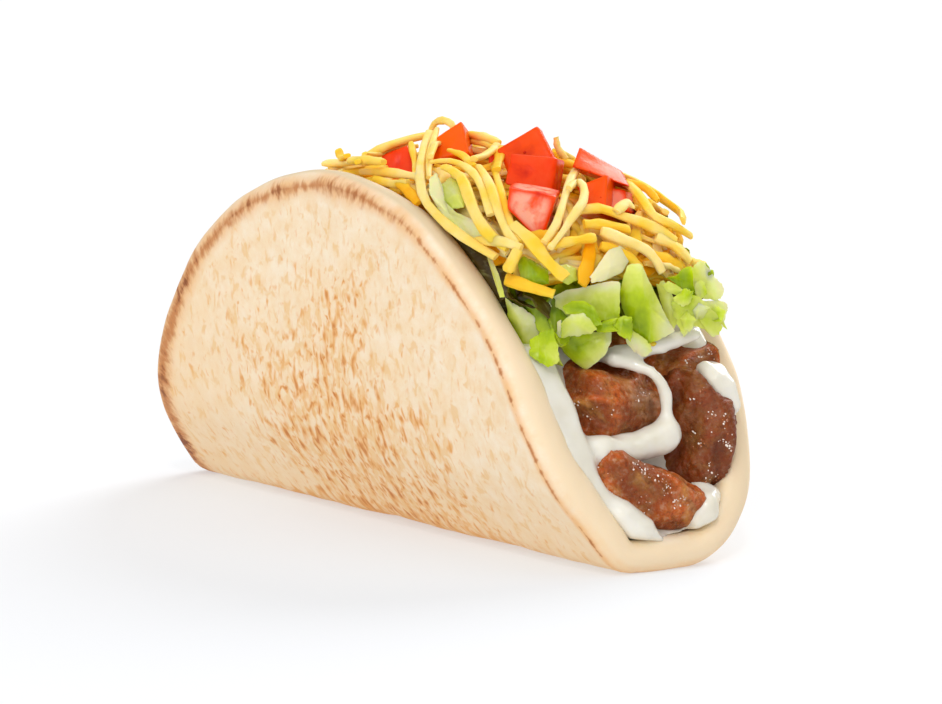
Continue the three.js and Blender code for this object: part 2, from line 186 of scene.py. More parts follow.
class Recipe:
    """A material and short ways to add nodes to it."""

    def __init__(self, name: str) -> None:
        """Start a material with a plain shader."""
        self.material = bpy.data.materials.new(name)
        self.material.use_nodes = True
        self.tree = self.material.node_tree
        self.shader = self.tree.nodes["Principled BSDF"]

    def connect(self, socket: Socket, value: Setting) -> None:
        """Link a socket to another one, or set its value."""
        if isinstance(value, Socket):
            self.tree.links.new(value, socket)
        else:
            socket.default_value = tone(value) if isinstance(value, str) else value

    def add(
        self, kind: str, inputs: dict[str | int, Setting], output: str | int = 0, **settings: object
    ) -> Socket:
        """Add a node.

        Args:
            kind: The node's type.
            inputs: Its inputs by name or number: a value or another node's output.
            output: The output that is wanted.
            **settings: The node's own properties.

        Returns:
            The wanted output.
        """
        node = self.tree.nodes.new(kind)
        for key, value in settings.items():
            setattr(node, key, value)
        for key, value in inputs.items():
            self.connect(node.inputs[key], value)
        return node.outputs[output]

    def place(self) -> Socket:
        """Return the place on the piece, in metres."""
        return self.add("ShaderNodeTexCoord", {}, "Object")

    def attribute(self, name: str, output: str = "Vector") -> Socket:
        """Return one of the mesh's own attributes."""
        return self.add("ShaderNodeAttribute", {}, output, attribute_name=name)

    def parts(self, vector: Socket) -> list[Socket]:
        """Return the three parts of a vector."""
        node = self.tree.nodes.new("ShaderNodeSeparateXYZ")
        self.tree.links.new(vector, node.inputs[0])
        return list(node.outputs)

    def vector(self, x: Setting, y: Setting, z: Setting = 0.0) -> Socket:
        """Return a vector made of three parts."""
        return self.add("ShaderNodeCombineXYZ", {0: x, 1: y, 2: z})

    def stretched(self, vector: Socket, factors: Sequence[float]) -> Socket:
        """Return a vector with each part multiplied by its factor."""
        return self.add("ShaderNodeVectorMath", {0: vector, 1: factors}, operation="MULTIPLY")

    def calc(self, operation: str, a: Setting, b: Setting = 0.0) -> Socket:
        """Return the result of a sum on numbers."""
        return self.add("ShaderNodeMath", {0: a, 1: b}, operation=operation)

    def plus(self, a: Setting, b: Setting) -> Socket:
        """Return two numbers added."""
        return self.calc("ADD", a, b)

    def minus(self, a: Setting, b: Setting) -> Socket:
        """Return the first number less the second."""
        return self.calc("SUBTRACT", a, b)

    def times(self, a: Setting, b: Setting) -> Socket:
        """Return two numbers multiplied."""
        return self.calc("MULTIPLY", a, b)

    def size(self, a: Setting) -> Socket:
        """Return a number without its sign."""
        return self.calc("ABSOLUTE", a)

    def noise(
        self, vector: Socket, size: float, detail: float = 2.0, roughness: float = 0.5,
        distortion: float = 0.0,
    ) -> Socket:
        """Return smooth noise from 0 to 1, with swellings of the given size."""
        inputs = {
            "Vector": vector, "Scale": 1 / size, "Detail": detail, "Roughness": roughness,
            "Distortion": distortion,
        }
        return self.add("ShaderNodeTexNoise", inputs, "Fac")

    def cells(self, vector: Socket, size: float, feature: str = "F1") -> Socket:
        """Return the distance to the nearest of many points, in a pattern of the given size."""
        inputs = {"Vector": vector, "Scale": 1 / size}
        return self.add("ShaderNodeTexVoronoi", inputs, "Distance", feature=feature)

    def step(
        self, value: Setting, low: float, high: float, to_low: float = 0.0, to_high: float = 1.0
    ) -> Socket:
        """Return a smooth rise from to_low to to_high as a value goes from low to high."""
        inputs = {0: value, 1: low, 2: high, 3: to_low, 4: to_high}
        return self.add("ShaderNodeMapRange", inputs, interpolation_type="SMOOTHSTEP")

    def blend(self, share: Setting, a: Setting, b: Setting, way: str = "MIX") -> Socket:
        """Return a blend of two colours."""
        inputs = {0: share, 6: a, 7: b}
        return self.add("ShaderNodeMix", inputs, 2, data_type="RGBA", blend_type=way)

    def ramp(self, value: Socket, stops: Sequence[tuple[float, str | Colour]]) -> Socket:
        """Return a colour that runs through stops as a value goes from 0 to 1."""
        node = self.tree.nodes.new("ShaderNodeValToRGB")
        elements = node.color_ramp.elements
        while len(elements) < len(stops):
            elements.new(0.5)
        for element, (position, colour) in zip(elements, stops):
            element.position = position
            element.color = tone(colour) if isinstance(colour, str) else colour
        self.tree.links.new(value, node.inputs[0])
        return node.outputs[0]

    def relief(
        self, height: Socket, depth: float, strength: float = 1.0, under: Setting | None = None
    ) -> Socket:
        """Return a surface direction bent by a height from 0 to 1, which is depth metres deep."""
        inputs: dict[str | int, Setting] = {"Height": height, "Distance": depth, "Strength": strength}
        if under is not None:
            inputs["Normal"] = under
        return self.add("ShaderNodeBump", inputs)

    def finish(self, **sockets: Setting) -> Material:
        """Set the shader's sockets, named with underscores for spaces, and return the material."""
        for name, value in sockets.items():
            self.connect(self.shader.inputs[name.replace("_", " ")], value)
        return self.material


@dataclass(frozen=True)
class ToastedBread:
    """Pale flatbread with brown toasted dabs and a browned ring near its edge."""

    pale: str = "#f5dcb8"
    cream: str = "#f8e6cb"
    warm: str = "#f1cd9c"
    yellow: str = "#ecbe7c"
    gold: str = "#e8a450"
    brown: str = "#c8742c"
    char: str = "#8a4c24"
    ring_brown: str = "#be743a"
    rim: str = "#f4dcb8"
    rim_top: str = "#dac5a2"
    inside: str = "#f3dcb6"
    toasted_centre: Pair = (-2.0, 25.0)  # along the fold and across it
    toasted_reach: Pair = (46.0, 48.0)

    def material(self, bread: Flatbread) -> Material:
        """Build the finish.

        Args:
            bread: The bread, whose flat attribute holds the place on the unfolded bread.

        Returns:
            The material.
        """
        r = Recipe("toasted_bread")
        x, s, side = r.parts(r.attribute("flat"))
        level = r.vector(x, s)
        outer = r.step(side, 0.3, 0.7)

        mottle = r.noise(level, 5.0, 5.0, 0.68)
        base = r.ramp(mottle, [(0.36, self.cream), (0.56, self.pale), (0.80, self.warm)])
        # Warmer towards the fold: partly toasting, partly painted shade on the low part of the flaps.
        fold_toast_and_shade = r.step(r.size(s), 4.0, 34.0, 0.55, 0.0)
        at_back = r.step(x, -70.0, -20.0, 0.6, 0.0)
        base = r.blend(r.calc("MAXIMUM", fold_toast_and_shade, at_back), base, self.warm)

        shares = (r.times(x, 2 / bread.fold.along), r.times(s, 2 / bread.fold.across))
        squares = [r.calc("POWER", share, 2.0) for share in shares]
        reach = r.calc("SQRT", r.plus(squares[0], squares[1]))
        inward = r.times(reach, bread.fold.across / 2)
        angle = r.calc("ARCTAN2", shares[1], shares[0])
        around = r.times(angle, bread.fold.across / 2)

        toasted = self._toasted(r, x, s)
        hints, dabs, cores = self._dabs(r, x, s, toasted)
        in_ring = r.step(inward, 70.0, 73.5, 1.0, 0.0)
        dabs = r.times(dabs, in_ring)
        cores = r.times(cores, in_ring)
        base = r.blend(r.times(toasted, 0.3), base, self.warm)
        base = r.blend(r.times(hints, in_ring), base, self.yellow)
        # Toasting and painted contact shadow along the low edge that the bread rests on.
        rest_toast_and_shadow = self._rest_toast_and_shadow(r, x, s)
        base = r.blend(rest_toast_and_shadow, base, self.gold)
        colour = r.blend(r.times(dabs, 0.85), base, self.gold)
        cores = r.times(cores, r.step(toasted, 0.1, 0.9, 0.15, 0.95))
        colour = r.blend(cores, colour, self.brown)

        glow, smudge, burn = self._ring(r, x, inward, around)
        colour = r.blend(r.times(glow, 0.5), colour, self.gold)
        colour = r.blend(r.times(smudge, 0.85), colour, self.ring_brown)
        colour = r.blend(burn, colour, self.char)

        patches = r.noise(level, 7.0, 3.0, 0.6)
        inner = r.ramp(patches, [(0.35, self.cream), (0.6, self.inside), (0.8, self.warm)])
        high = r.step(r.size(s), 34.0, 62.0)
        high = r.times(high, r.step(x, 20.0, 60.0, 1.0, 0.1))
        high = r.calc("MAXIMUM", high, r.step(s, 12.0, 36.0, 0.0, 0.6))
        rim = r.blend(high, self.rim, self.rim_top)
        pale_side = r.blend(r.step(side, -0.9, -0.5), inner, rim)
        whole = r.blend(outer, pale_side, colour)

        pores = r.noise(r.place(), 0.0007, 3.0, 0.6)
        blisters = r.noise(r.place(), 0.005, 2.0, 0.5)
        normal = r.relief(blisters, 0.0006, 0.4)
        normal = r.relief(pores, 0.00010, 0.6, normal)
        normal = r.relief(r.times(dabs, outer), 0.00020, -0.5, normal)
        return r.finish(
            Base_Color=whole, Roughness=r.step(dabs, 0.0, 1.0, 0.62, 0.5), Normal=normal,
            Subsurface_Weight=0.1, Subsurface_Radius=(1.0, 0.6, 0.3), Subsurface_Scale=0.0015,
            Specular_IOR_Level=0.3,
        )

    def _toasted(self, r: Recipe, x: Setting, s: Setting) -> Socket:
        """Return how toasted each part of the flaps is, from 0 to 1."""
        away = [
            r.calc("POWER", r.calc("DIVIDE", r.minus(part, middle), reach), 2.0)
            for part, middle, reach in zip((x, r.size(s)), self.toasted_centre, self.toasted_reach)
        ]
        distance = r.calc("SQRT", r.plus(away[0], away[1]))
        broad = r.noise(r.vector(x, s), 26.0, 2.0, 0.5)
        uneven = r.plus(distance, r.step(broad, 0.3, 0.7, 0.22, -0.22))
        return r.step(uneven, 0.25, 1.1, 1.0, 0.0)

    def _dabs(self, r: Recipe, x: Setting, s: Setting, toasted: Setting) -> tuple[Socket, Socket, Socket]:
        """Return faint hints of toasting, the dabs that run across the fold, and their cores."""
        bend = r.noise(r.vector(x, s), 30.0, 1.0)
        sway = r.times(r.minus(bend, 0.5), 8.0)
        line = r.vector(r.plus(x, sway), r.times(s, 0.5))
        long_dabs = r.noise(line, 2.0, 1.8, 0.5, 0.3)
        short_dabs = r.noise(r.vector(x, r.times(s, 0.7)), 1.8, 1.8, 0.55, 0.5)
        both = r.calc("MAXIMUM", long_dabs, r.minus(short_dabs, 0.02))
        over = r.minus(both, r.step(toasted, 0.0, 1.0, 0.69, 0.535))
        faint = r.noise(r.vector(x, r.times(s, 0.7)), 2.4, 2.0, 0.6, 0.5)
        hints = r.step(r.plus(faint, r.times(toasted, 0.08)), 0.52, 0.68, 0.0, 0.6)
        return hints, r.step(over, -0.07, 0.12), r.step(over, 0.04, 0.22)

    def _rest_toast_and_shadow(self, r: Recipe, x: Setting, s: Setting) -> Socket:
        """Return the toasting of the low edge that the bread rests on, with painted contact shadow."""
        away = r.size(r.minus(r.size(s), 7.0))
        uneven = r.plus(away, r.step(r.noise(r.vector(x, s), 3.0, 3.0, 0.6), 0.3, 0.7, 2.5, -2.0))
        low = r.step(uneven, 0.2, 3.8, 0.85, 0.0)
        return r.times(low, r.step(r.size(x), 30.0, 66.0, 1.0, 0.2))

    def _ring(
        self, r: Recipe, x: Setting, inward: Setting, around: Setting
    ) -> tuple[Socket, Socket, Socket]:
        """Return the glow, the smudges and the burnt tips of the ring near the bread's edge.

        The ring is wide and smudged at the back and the top, and a thin line in front.

        Args:
            r: The recipe.
            x: The place along the fold.
            inward: The distance from the bread's middle.
            around: The place round the bread.

        Returns:
            How strong each of the three is.
        """
        back = r.step(x, 8.0, 46.0, 1.0, 0.0)
        rays = r.noise(r.vector(around, r.times(inward, 0.5)), 1.7, 2.5, 0.6)
        clumps = r.noise(r.vector(around, 40.0), 11.0, 2.0, 0.6)
        middle = r.plus(r.step(x, -60.0, 30.0, 74.2, 75.6), r.step(clumps, 0.3, 0.7, -0.2, 0.2))
        width = r.plus(0.5, r.times(back, r.step(clumps, 0.3, 0.7, 0.9, 2.0)))
        width = r.plus(width, r.step(x, -70.0, -30.0, 1.4, 0.0))
        offset = r.calc("DIVIDE", r.size(r.minus(inward, middle)), width)
        close = r.minus(1.0, offset)
        faded = r.times(offset, r.step(back, 0.0, 1.0, 0.34, 0.55))
        glow = r.step(r.minus(1.0, faded), 0.0, 0.9)
        front = r.minus(1.0, back)
        grain = r.times(r.minus(rays, 0.5), 2.4)
        amount = r.plus(r.plus(close, grain), r.times(front, 0.15))
        amount = r.plus(amount, r.step(x, -66.0, -36.0, 0.3, 0.0))
        breaks = r.step(r.noise(r.vector(around, 90.0), 3.5, 2.0), 0.42, 0.56, -0.9, 0.1)
        amount = r.plus(amount, r.times(front, breaks))
        smudge = r.step(amount, 0.1, 1.2)
        tips = r.plus(amount, r.step(clumps, 0.35, 0.7, -0.5, 0.3))
        burn = r.times(r.step(tips, 0.85, 1.5), r.step(x, -55.0, 30.0, 1.0, 0.3))
        return glow, smudge, burn


@dataclass(frozen=True)
class WetCream:
    """Thick white sour cream with a wet shine."""

    white: str = "#ece8dc"
    shade: str = "#e0d9c6"

    def material(self) -> Material:
        """Build the finish and return the material."""
        r = Recipe("sour_cream")
        place = r.place()
        cloud = r.noise(place, 0.006, 2.0)
        colour = r.ramp(cloud, [(0.35, self.white), (0.75, self.shade)])
        ripple = r.noise(place, 0.0022, 2.0, 0.5)
        return r.finish(
            Base_Color=colour, Roughness=0.25, Normal=r.relief(ripple, 0.0003, 0.35),
            Subsurface_Weight=0.25, Subsurface_Radius=(1.0, 0.85, 0.6), Subsurface_Scale=0.0015,
            Coat_Weight=0.25, Coat_Roughness=0.08,
        )


@dataclass(frozen=True)
class GlazedMeat:
    """Seared steak: red-brown glaze over meat that is grey-pink where it is cut."""

    dark: str = "#54220a"
    brown: str = "#c47634"
    red: str = "#c45812"
    amber: str = "#e8a452"
    cut: str = "#d2a482"
    fat: str = "#e6c4a0"

    def material(self) -> Material:
        """Build the finish and return the material."""
        r = Recipe("glazed_steak")
        place = r.place()
        grain = r.attribute("grain")
        fibres = r.noise(r.stretched(grain, (0.3, 0.12, 1.0)), 1.3, 2.5, 0.6)
        broad = r.noise(place, 0.0055, 3.0, 0.6, 0.6)
        stops = [(0.30, self.brown), (0.46, self.red), (0.58, self.brown), (0.72, self.amber)]
        colour = r.ramp(broad, stops)
        shade = r.step(fibres, 0.35, 0.7)
        colour = r.blend(r.times(shade, 0.35), colour, self.dark)
        meat = r.blend(shade, self.cut, self.brown)
        patches = r.noise(place, 0.004, 3.0, 0.65)
        bare_amount = r.plus(r.attribute("bare", "Fac"), r.step(patches, 0.3, 0.7, -0.35, 0.35))
        colour = r.blend(r.times(r.step(bare_amount, 0.3, 0.9), 0.85), colour, meat)
        fine = r.noise(place, 0.0010, 3.0, 0.6)
        colour = r.blend(r.step(fine, 0.5, 0.72, 0.0, 0.55), colour, self.cut)
        colour = r.blend(r.step(fine, 0.46, 0.3, 0.0, 0.5), colour, self.dark)
        colour = r.blend(r.attribute("shade", "Fac"), colour, self.dark)
        flecks = r.step(r.cells(place, 0.0015), 0.0, 0.22, 1.0, 0.0)
        fleck_share = r.times(flecks, r.step(r.noise(place, 0.0035, 2.0), 0.5, 0.68, 0.0, 0.5))
        colour = r.blend(fleck_share, colour, self.fat)
        # Painted shade: darker in the strip's hollows and dents.
        hollow_shade = r.attribute("hollow_shade", "Fac")
        colour = r.blend(r.times(hollow_shade, 0.55), colour, self.dark)
        normal = r.relief(r.noise(place, 0.0011, 4.0, 0.7), 0.0007, 0.7)
        normal = r.relief(fibres, 0.0005, 0.5, normal)
        return r.finish(
            Base_Color=colour, Roughness=r.step(broad, 0.3, 0.7, 0.26, 0.46), Normal=normal,
            Specular_IOR_Level=0.2, Subsurface_Weight=0.2, Subsurface_Radius=(1.0, 0.25, 0.1),
            Subsurface_Scale=0.002, Coat_Weight=0.15, Coat_Roughness=0.05,
        )


@dataclass(frozen=True)
class GlazeDrop:
    """Small wet crumbs of crust and glaze drops; the near-white ones paint sparkling highlights."""

    crust: str = "#b0602c"
    # A near-white that paints sparkling highlights on about half of the crumbs.
    clear: str = "#fbeee2"

    def material(self) -> Material:
        """Build the finish and return the material."""
        r = Recipe("crumbs_and_painted_sparkles")
        cloud = r.noise(r.place(), 0.0014, 2.0)
        colour = r.ramp(cloud, [(0.44, self.crust), (0.54, self.clear)])
        return r.finish(Base_Color=colour, Roughness=0.08, Coat_Weight=0.6, Coat_Roughness=0.03)


@dataclass(frozen=True)
class FreshLeaf:
    """Crisp lettuce, from pale green-white near the rib to bright green."""

    rib: str = "#ede6ac"
    pale: str = "#e2ec9e"
    light: str = "#d8e66a"
    green: str = "#b2cc12"
    deep: str = "#6c8a04"
    hollow_shade: str = "#4a3a10"  # painted shade of the heap's dark depth

    def material(self) -> Material:
        """Build the finish and return the material."""
        r = Recipe("lettuce_leaf")
        green = r.attribute("green", "Fac")
        along, across, number = r.parts(r.attribute("leaf"))
        level = r.vector(along, across, number)
        cloud = r.noise(level, 4.0, 3.0, 0.55)
        amount = r.plus(green, r.step(cloud, 0.25, 0.75, -0.1, 0.1))
        colour = r.ramp(
            amount,
            [
                (0.0, self.rib), (0.12, self.pale), (0.30, self.light), (0.55, self.green),
                (0.85, self.deep), (1.0, self.hollow_shade),
            ],
        )
        streaks = r.noise(r.vector(r.times(along, 0.22), across, number), 1.4, 2.0, 0.5, 0.4)
        colour = r.blend(r.step(streaks, 0.55, 0.75, 0.0, 0.14), colour, self.pale)
        crinkle = r.noise(level, 2.2, 2.0, 0.5)
        normal = r.relief(crinkle, 0.0005, 0.45)
        normal = r.relief(streaks, 0.0003, 0.4, normal)
        return r.finish(
            Base_Color=colour, Roughness=0.24, Normal=normal, Specular_IOR_Level=0.25,
            Subsurface_Weight=0.45, Subsurface_Radius=(0.8, 1.0, 0.1), Subsurface_Scale=0.003,
        )


@dataclass(frozen=True)
class GratedCheese:
    """Yellow cheese shreds, some paler and some more orange; the orange also paints shade in the heap."""

    pale: str = "#ffe092"
    yellow: str = "#ffce3c"
    orange: str = "#f8a600"

    def material(self) -> Material:
        """Build the finish and return the material."""
        r = Recipe("grated_cheese")
        kind = r.attribute("kind", "Fac")
        place = r.place()
        cloud = r.noise(place, 0.006, 2.0)
        amount = r.plus(kind, r.step(cloud, 0.3, 0.7, -0.15, 0.15))
        colour = r.ramp(amount, [(0.05, self.pale), (0.5, self.yellow), (0.95, self.orange)])
        crumbly = r.noise(place, 0.0009, 3.0, 0.6)
        return r.finish(
            Base_Color=colour, Roughness=0.5, Normal=r.relief(crumbly, 0.00012, 0.5),
            Specular_IOR_Level=0.1, Subsurface_Weight=0.45, Subsurface_Radius=(1.0, 0.74, 0.18),
            Subsurface_Scale=0.0012,
        )


@dataclass(frozen=True)
class RipeTomato:
    """Diced tomato: orange-red skin, and wet coral flesh on the cut faces."""

    deep: str = "#d01c00"
    skin: str = "#f04000"
    orange: str = "#f86400"
    flesh: str = "#f4501e"
    pink: str = "#f8a88c"

    def material(self) -> Material:
        """Build the finish and return the material."""
        r = Recipe("ripe_tomato")
        place = r.place()
        pulpy = r.attribute("pulp", "Fac")
        warm = r.attribute("orange", "Fac")
        cloud = r.noise(place, 0.0045, 3.0, 0.55, 0.3)
        peel = r.ramp(cloud, [(0.28, self.deep), (0.48, self.skin), (0.75, self.flesh)])
        peel = r.blend(warm, peel, self.orange)
        wet = r.ramp(cloud, [(0.36, self.flesh), (0.50, self.pink)])
        colour = r.blend(pulpy, peel, wet)
        grain = r.noise(place, 0.0013, 3.0, 0.6)
        depth = r.times(grain, r.plus(0.2, pulpy))
        return r.finish(
            Base_Color=colour, Roughness=0.26, Normal=r.relief(depth, 0.0005, 0.5), Specular_IOR_Level=0.12,
            Subsurface_Weight=0.35, Subsurface_Radius=(1.0, 0.15, 0.03), Subsurface_Scale=0.002,
        )


# The folded bread


class Flap(Enum):
    """One half of the folded bread."""

    NEAR = -1
    FAR = 1


@dataclass(frozen=True)
class Fold:
    """How the bread is folded: each flap's stretches, from the middle of the fold upwards.

    A stretch is its length in millimetres and the degrees through which it bends.
    """

    along: float = 150.0
    across: float = 156.0
    thickness: float = 6.0
    near: tuple[Pair, ...] = ((6, 0), (4, 52), (12, 3), (10, 22), (13, 10), (15, 2), (18, 1))
    far: tuple[Pair, ...] = ((6, 0), (4, 20), (5, 18), (7, 21), (10, 16), (13, 12), (15, 5), (18, 2))

    def wall_at(self, flap: Flap, distance: float) -> Point:
        """Find the middle of the bread's thickness at a distance from the middle of the fold.

        Args:
            flap: The flap.
            distance: The distance along the bread.

        Returns:
            How far out it is, how far up it is, and its steepness in radians.
        """
        bends = self.near if flap is Flap.NEAR else self.far
        out = up = tilt = 0.0
        left = distance
        for i, (run, degrees) in enumerate(bends):
            step = left if i == len(bends) - 1 else min(run, left)
            bend = math.radians(degrees) * min(step / run, 1.0)
            chord = step if bend == 0 else 2 * step / bend * math.sin(bend / 2)
            out += chord * math.cos(tilt + bend / 2)
            up += chord * math.sin(tilt + bend / 2)
            tilt += bend
            left -= step
        return out, up, tilt

    def place(self, x: float, s: float, height: float) -> Vector:
        """Fold a point of the flat bread.

        Args:
            x: Its place along the fold.
            s: Its place across the fold, negative on the near flap.
            height: Its height outwards from the middle of the bread's thickness.

        Returns:
            The point of the folded bread.
        """
        out, up, tilt = self.wall_at(Flap.NEAR if s < 0 else Flap.FAR, abs(s))
        y = math.copysign(out + height * math.sin(tilt), s)
        return Vector((x, y, self.thickness / 2 + up - height * math.cos(tilt)))

    @cached_property
    def inner_walls(self) -> dict[Flap, list[Point]]:
        """The inner face of each flap as rows of height, distance out and distance along."""
        inset = self.thickness / 2 + 0.2
        walls: dict[Flap, list[Point]] = {}
        for flap in Flap:
            rows = []
            for i in range(int(self.across) + 1):
                out, up, tilt = self.wall_at(flap, i / 2)
                height = self.thickness / 2 + up + inset * math.cos(tilt)
                rows.append((height, out - inset * math.sin(tilt), i / 2))
            walls[flap] = rows
        return walls

    def inner_wall(self, flap: Flap, z: float) -> Pair:
        """Find a flap's inner face at a height.

        Args:
            flap: The flap.
            z: The height.

        Returns:
            How far out the inner face is, and how far along the bread.
        """
        rows = self.inner_walls[flap]
        if z <= rows[0][0]:
            return rows[0][1], rows[0][2]
        for low, high in zip(rows, rows[1:]):
            if high[0] >= z:
                share = (z - low[0]) / max(high[0] - low[0], 1e-6)
                return lerp(low[1], high[1], share), lerp(low[2], high[2], share)
        return rows[-1][1], rows[-1][2]

    def pocket_y(self, across: float, z: float) -> float:
        """Return the y of a point of the pocket, across being -1 near to 1 far."""
        return across * self.inner_wall(Flap.NEAR if across < 0 else Flap.FAR, z)[0]

    def kept_inside(self, point: Vector, clearance: float = 0.0) -> Vector:
        """Return a point of the filling, moved in if it would enter the bread."""
        inside = point.copy()
        if self.rim_x(point.z) > abs(point.x) - 2.0:
            near = self.inner_wall(Flap.NEAR, point.z)[0] - clearance
            far = self.inner_wall(Flap.FAR, point.z)[0] - clearance
            inside.y = clamp(point.y, -near, far)
            inside.z = max(point.z, self.thickness + 0.2 + clearance)
        return inside

    def rim_x(self, z: float) -> float:
        """Return how far along the fold the bread's rim lies at a height."""
        s = self.inner_wall(Flap.NEAR, z)[1]
        return self.along / 2 * math.sqrt(max(0.0, 1 - (2 * s / self.across) ** 2))


@dataclass
class Flatbread:
    """The thick round bread, spun as a disc with a round rim and then folded."""

    fold: Fold
    finish: ToastedBread = field(default_factory=ToastedBread)
    segments: int = 448
    ring_gap: float = 1.0
    rim_steps: int = 12
    seen_rings: int = 24  # of the inner face, from its rim
    hidden_rings: int = 10
    wobble: float = 0.55  # of the rim's outline
    swell: float = 0.3  # of the faces
    lip: float = 1.4  # how much thicker the near flap's front edge is

    def build(self) -> Piece:
        """Model the bread and return the piece."""
        form = bmesh.new()
        points = [form.verts.new((radius, 0.0, height)) for radius, height in self._profile()]
        edges = [form.edges.new(pair) for pair in zip(points, points[1:])]
        bmesh.ops.spin(
            form, geom=points + edges, cent=(0, 0, 0), axis=(0, 0, 1), angle=2 * math.pi,
            steps=self.segments, use_merge=True,
        )
        bmesh.ops.remove_doubles(form, verts=form.verts, dist=0.0001)
        bmesh.ops.recalc_face_normals(form, faces=form.faces)
        flat = form.verts.layers.float_vector.new("flat")
        for vert in form.verts:
            vert.co, vert[flat] = self._folded(vert.co)
        return finished("flatbread_toasted", form, self.finish.material(self), Slot.BREAD, ["flatbread"])

    def _profile(self) -> list[Pair]:
        """Return the disc's half section, from the outer face's middle round the rim."""
        half = self.fold.thickness / 2
        edge = self.fold.across / 2 - half
        rings = int(edge / self.ring_gap)
        outer = [(edge * i / rings, half) for i in range(rings + 1)]
        angles = [math.pi * i / self.rim_steps for i in range(1, self.rim_steps)]
        turn = [(edge + half * math.sin(angle), half * math.cos(angle)) for angle in angles]
        seen = [(edge - i * self.ring_gap, -half) for i in range(self.seen_rings)]
        steps = range(1, self.hidden_rings + 1)
        hidden = [(seen[-1][0] * (1 - i / self.hidden_rings), -half) for i in steps]
        return outer + turn + seen + hidden

    def _folded(self, point: Vector) -> tuple[Vector, Vector]:
        """Fold one point of the disc.

        Args:
            point: The point of the flat disc, with its outer face up.

        Returns:
            Its place on the folded bread, and its place on the flat bread with 1 for the
            outer face and -1 for the inner one.
        """
        half = self.fold.thickness / 2
        x, s, height = point.x * self.fold.along / self.fold.across, point.y, point.z
        reach = math.hypot(x, s)
        angle = math.atan2(s, x)
        around = Vector((math.cos(angle), math.sin(angle), 0.0))
        near_rim = eased(reach, 50.0, 74.0)
        shift = self.wobble * near_rim * (
            waviness(around * 75, 24.0, 3.0) + 0.5 * waviness(around * 75, 9.0, 5.0) - 0.35
        )
        x += around.x * shift
        s += around.y * shift
        place = Vector((x, s, 0.0))
        bulge = self.swell * (waviness(place, 15.0, 1.0) + 0.5 * waviness(place, 6.0, 2.0)) * height / half
        lip = self.lip * eased(reach, 58.0, 71.0) * eased(x, 0.0, 34.0) * eased(-s, 6.0, 24.0)
        lip = lip * min(height, 0.0) / half
        rim_bulge = 0.35 * near_rim * waviness(around * 75, 13.0, 8.0) * height / half
        folded = self.fold.place(x, s, height + bulge + rim_bulge + lip)
        folded.z = max(folded.z, 0.0)
        return folded, Vector((point.x * self.fold.along / self.fold.across, point.y, height / half))


# The heap above the bread


